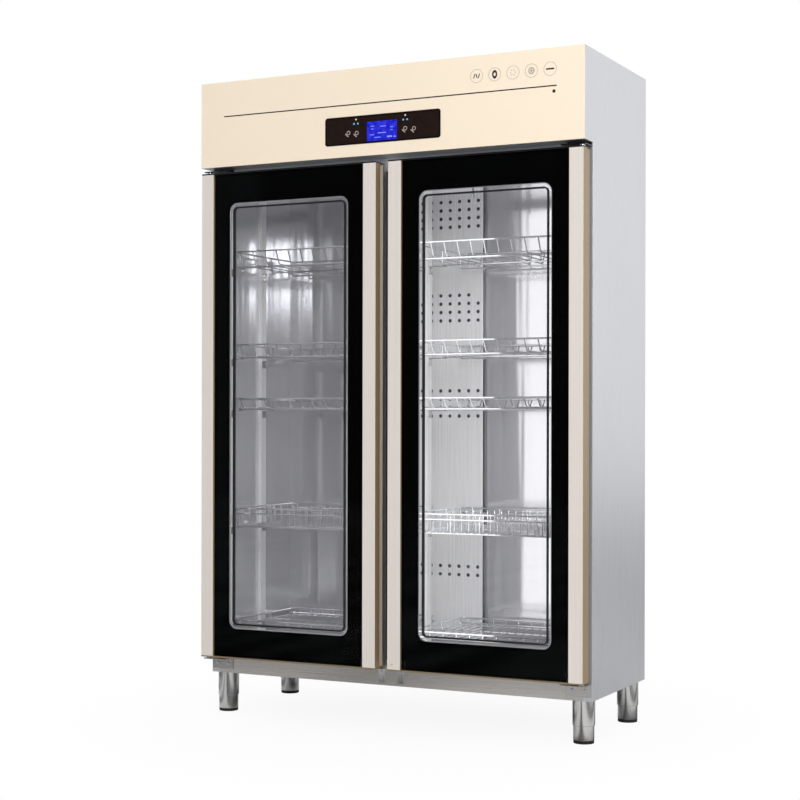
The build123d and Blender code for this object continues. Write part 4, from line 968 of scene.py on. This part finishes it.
# place from the middle, width and height, in millimetres
DISPLAY_BARS = ((-30, 14, 12, 2), (-30, 6, 8, 2), (-31, -10, 14, 2), (0, -6, 26, 2.4), (4, 12, 18, 2),
                (31, 8, 9, 2), (31, 0, 6, 2), (24, -18, 16, 4), (40, -19, 7, 3), (-14, -18, 20, 2))
display_x = (display_low.x + display_high.x) / 2
display_z = (display_low.z + display_high.z) / 2
bars = []
for x, z, width, height in DISPLAY_BARS:
    centre = (display_x + x * MM, display_low.y - PRINT, display_z + z * MM)
    bars.append(plate(centre, width * MM, height * MM, BAR_CORNER, PRINT))
print_marks(bars, "display_bars", DISPLAY_MARK, "blue_display")

# %% [markdown]
# ## Printed marks on the fascia
# A fine dark rule runs across the fascia. Above its right end stand five thin rings with plain signs in
# them, and below it a round dot. They are generic shapes, and no lettering is drawn.

# %% Rule, rings and dot
fascia_low, fascia_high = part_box("fascia_face")
ink_front = fascia_low.y - PRINT
RULE_Z = 1.758
RULE_HALF = 0.521
RULE_LINE = 3.4 * MM
RULE_CORNER = 0.4 * MM
RING_FIRST = 0.2886
RING_PITCH = 53.45 * MM
RING_Z = 1.8035
RING_ACROSS = 36 * MM
RING_LINE = 1.1 * MM
DOT_PLACE = (0.5134, 1.7432)
DOT_RADIUS = 4.6 * MM

# the signs inside the five rings, from the left
STROKE = (2.6 * MM, 13 * MM, 1 * MM)  # width, height and corner
STROKE_LEANS = {-7 * MM: 0.3, 0.0: -0.3, 7 * MM: 0.3}  # place from the middle, and lean
OVAL = (11 * MM, 4.4 * MM)  # across, and its line
OVAL_STRETCH = 1.5
BEADS = 6
BEAD_CIRCLE = 7 * MM
BEAD_RADIUS = 1.5 * MM
TARGET = (15 * MM, 3.2 * MM)  # across, and its line
TARGET_DOT = 3.6 * MM
DASH = (24 * MM, 4.4 * MM, 2 * MM)  # width, height and corner

ink_middle = ink_front + PRINT / 2
ring_xs = [RING_FIRST + index * RING_PITCH for index in range(5)]
strokes_x, oval_x, beads_x, target_x, dash_x = ring_xs
rings = [flat_ring((x, ink_middle, RING_Z), RING_ACROSS, RING_LINE, PRINT) for x in ring_xs]
rings.append(flat_ring((target_x, ink_middle, RING_Z), *TARGET, PRINT))
rings.append(dot(target_x, RING_Z, TARGET_DOT, ink_front))
for index in range(BEADS):
    angle = 2 * math.pi * index / BEADS
    bead_x = beads_x + BEAD_CIRCLE * math.cos(angle)
    rings.append(dot(bead_x, RING_Z + BEAD_CIRCLE * math.sin(angle), BEAD_RADIUS, ink_front))
print_marks(rings, "fascia_rings", PRINT_GREY, "fascia_paint")

black = [
    plate((0, ink_front, RULE_Z), 2 * RULE_HALF, RULE_LINE, RULE_CORNER, PRINT),
    dot(*DOT_PLACE, DOT_RADIUS, ink_front),
    plate((dash_x, ink_front, RING_Z), *DASH, PRINT),
    flat_ring((oval_x, ink_middle, RING_Z), *OVAL, PRINT, height=OVAL_STRETCH),
]
for shift, lean in STROKE_LEANS.items():
    black.append(plate((strokes_x + shift, ink_front, RING_Z), *STROKE, PRINT, tilt=lean))
print_marks(black, "fascia_print", PRINT_BLACK, "fascia_paint")

# %% [markdown]
# ## Screws
# Screws are what tell the eye that sheet metal can come apart. One pan head is turned, with its driver
# recess, and it is used on the hinge brackets, the catches and the foot of the right door.

# %% Screw heads
HEAD_RISE = 0.45  # height of a head, as a share of its radius
HEAD_PROFILE = ((1, 0), (1, 0.4), (0.8, 0.85), (0.5, 1), (0.32, 1), (0.3, 0.4))  # shares of radius and height


def screw(x, y, z, radius, turn):
    """A pan head with its recess, standing on a face."""
    tall = HEAD_RISE * radius
    profile = [(across * radius, up * tall) for across, up in HEAD_PROFILE]
    return turned(profile, (x, y, z), turn, sides=20)


bracket_low, bracket_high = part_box("hinge_brackets")
catch_low, catch_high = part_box("door_catches")
BRACKET_SHEET = 3 * MM
CATCH_SHEET = 2 * MM
BRACKET_SCREW_XS = (0.543, 0.580)
LOWER_SCREW_Z = 0.146
UPPER_SCREW_Z = 1.606
LOWER_SCREW = 4.2 * MM  # radius of each screw's head
UPPER_SCREW = 3 * MM
CATCH_SCREW = 3 * MM
CATCH_SCREW_X = 30 * MM
CATCH_SCREW_DROP = 9 * MM  # below the top of the catch
bracket_face = bracket_high.y - BRACKET_SHEET
hinge_screws = []
for x in BRACKET_SCREW_XS:
    hinge_screws.append(screw(x, bracket_face, LOWER_SCREW_Z, LOWER_SCREW, FRONT_FACING))
    hinge_screws.append(screw(x, bracket_face, UPPER_SCREW_Z, UPPER_SCREW, FRONT_FACING))
hinge_screws.append(screw(CATCH_SCREW_X, catch_high.y - CATCH_SHEET, catch_high.z - CATCH_SCREW_DROP,
                          CATCH_SCREW, FRONT_FACING))
finish_piece(on_both_sides(joined(hinge_screws)), "bracket_screws", "bright_steel", "root")

DOOR_SCREW_X, DOOR_SCREW_Z = 0.0346, 0.188
DOOR_SCREW = 2 * MM
door_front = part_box("right_door_grip_stile")[0].y
door_screw = screw(DOOR_SCREW_X, door_front, DOOR_SCREW_Z, DOOR_SCREW, FRONT_FACING)
finish_piece(door_screw, "right_door_screw", "bright_steel", "right_door")

# %% [markdown]
# ## Studio
# The studio is plain: soft light from both sides and above, on a white ground. Black glass only looks black
# where it mirrors something dark. So the world is a grey light for the surfaces, white for the camera, and
# darker towards the front for reflections.

# %% World
world = bpy.data.worlds.new("studio")
bpy.context.scene.world = world
world.use_nodes = True
ambient = world.node_tree.nodes["Background"]
AMBIENT = 0.5
MIRRORED_LIGHT = (0.1, 1.0)  # strength in front and elsewhere, as glossy surfaces see it
FRONT_FADE = (-0.72, -0.25)  # the headings between which it grows
place = node(world, "ShaderNodeTexCoord")
facing = node(world, "ShaderNodeSeparateXYZ", [("Vector", place.outputs["Generated"])])
mirrored = between(world, facing.outputs["Y"], *MIRRORED_LIGHT, *FRONT_FADE)
rays = node(world, "ShaderNodeLightPath")
lit = node(world, "ShaderNodeMix", [(0, rays.outputs["Is Glossy Ray"]), (2, AMBIENT), (3, mirrored)])
clear = node(world, "ShaderNodeMath", operation="MAXIMUM")
feed(world, rays.outputs["Is Camera Ray"], clear.inputs[0])
feed(world, rays.outputs["Is Transmission Ray"], clear.inputs[1])
level = node(world, "ShaderNodeMix", [(0, clear.outputs["Value"]), (2, lit.outputs[0]), (3, 1.0)])
feed(world, level.outputs[0], ambient.inputs["Strength"])
ambient.inputs["Color"].default_value = (1, 1, 1, 1)

# %% [markdown]
# ## Lamps
# Three large soft lamps light the case: the key from the right, a weak fill from the left and one above.
# Each is turned towards the middle of the cabinet. Large lamps give metal wide, soft highlights.

# %% Lights
# place, size across and power
LIGHTS = {
    "key": ((2.6, -3.2, 2.6), 2.2, 82.0),
    "fill": ((-3.6, -2.2, 1.4), 3.8, 13.0),
    "top": ((0.2, -0.6, 4.2), 2.6, 27.0),
}
MIDDLE = Vector((0, 0, 0.95))
for name, (spot, size, power) in LIGHTS.items():
    select_only(None)
    bpy.ops.object.light_add(type="AREA", location=spot)
    lamp = bpy.context.object
    lamp.name = name
    lamp.data.size = size
    lamp.data.energy = power
    lamp.rotation_euler = (MIDDLE - Vector(spot)).to_track_quat("-Z", "Y").to_euler()
print("lights", list(LIGHTS))

# %% [markdown]
# ## Light through the doors
# Two panes keep much of the studio's light out of the chambers. A pale lamp just behind each door, unseen
# by the camera, puts back what the glass takes. The right chamber gets more, because it is the brighter
# one.

# %% Light through the doors
# power, and how far the lamp stands to the side of the pane's middle
DOOR_LIGHTS = {"left": (0.42, 0.14), "right": (2.8, -0.24)}
DOOR_LIGHT_SIZE = (0.46, 1.34)
DOOR_LIGHT_Y = -0.182
for side, (power, shift) in DOOR_LIGHTS.items():
    pane_low, pane_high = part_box(f"{side}_door_inner_glass")
    middle = (pane_low + pane_high) / 2
    select_only(None)
    bpy.ops.object.light_add(type="AREA", location=(middle.x + shift, DOOR_LIGHT_Y, middle.z),
                             rotation=FRONT_FACING)
    lamp = bpy.context.object
    lamp.name = f"{side}_doorway_light"
    lamp.data.shape = "RECTANGLE"
    lamp.data.size, lamp.data.size_y = DOOR_LIGHT_SIZE
    lamp.data.energy = power
    lamp.visible_camera = False

# %% [markdown]
# ## Floor
# The floor is white paper that fades into the ground with distance, for the camera alone, and keeps the
# cabinet's shadow. Glossy metal sees it in broken tones instead, which gives the legs their dark and light
# bands.

# %% Floor
FLOOR_HALF = 12.0
FADE_START = 0.3
FADE_END = 1.2
LEAST_FADE = 0.9
PAPER_WHITE = screen(246, 246, 247)
MIRRORED_PAPER = (screen(96, 96, 97), screen(250, 250, 250))
PATCH_GRAIN = (4.2, 0.5, 1)
PATCH_EDGE = (0.42, 0.58)
select_only(None)
bpy.ops.mesh.primitive_plane_add(size=2 * FLOOR_HALF)
floor = bpy.context.object
floor.name = "floor"
paper, paper_shader = new_finish("floor_paper", PAPER_WHITE, 0.0, 0.7)
place = node(paper, "ShaderNodeTexCoord")
away = node(paper, "ShaderNodeVectorMath", [("Vector", place.outputs["Object"])], operation="LENGTH")
far = between(paper, away.outputs["Value"], LEAST_FADE, 1, FADE_START, FADE_END)
white = node(paper, "ShaderNodeEmission", [("Color", (1, 1, 1, 1)), ("Strength", 1.0)])
seen = node(paper, "ShaderNodeLightPath")
fade = node(paper, "ShaderNodeMath", [(0, far), (1, seen.outputs["Is Camera Ray"])], operation="MULTIPLY")
patches = between(paper, grain(paper, PATCH_GRAIN, detail=0.0), 0, 1, *PATCH_EDGE)
tone = blend_colours(paper, patches, *MIRRORED_PAPER)
seen_colour = blend_colours(paper, seen.outputs["Is Glossy Ray"], PAPER_WHITE, tone)
feed(paper, seen_colour, paper_shader.inputs["Base Color"])
sheet = node(paper, "ShaderNodeMixShader", [(0, fade.outputs["Value"]), (1, paper_shader.outputs["BSDF"]),
                                            (2, white.outputs["Emission"])])
feed(paper, sheet.outputs["Shader"], paper.node_tree.nodes["Material Output"].inputs["Surface"])
floor.data.materials.append(paper)

# %% [markdown]
# ## Camera
# The photograph was taken from the right of the middle, level with the doors, with a moderate telephoto.
# The lens is shifted up a little, so that upright edges stay upright.

# %% Camera and colour
CAMERA_PLACE = (2.1245, -4.383, 0.862)
CAMERA_HEADING = 0.464
CAMERA_ROLL = 0.002
CAMERA_LENS = 74.785
CAMERA_SHIFT = 0.02818
select_only(None)
bpy.ops.object.camera_add(location=CAMERA_PLACE)
camera = bpy.context.object
camera.rotation_euler = (math.pi / 2, 0, CAMERA_HEADING)
camera.rotation_euler.rotate_axis("Z", CAMERA_ROLL)
camera.data.lens = CAMERA_LENS
camera.data.shift_y = CAMERA_SHIFT
bpy.context.scene.camera = camera
bpy.context.scene.view_settings.view_transform = "Standard"

# %% [markdown]
# ## Finish
# The dressed cabinet has to keep the size of its frame. The work ends with nothing selected.

# %% Finish
select_only(None)
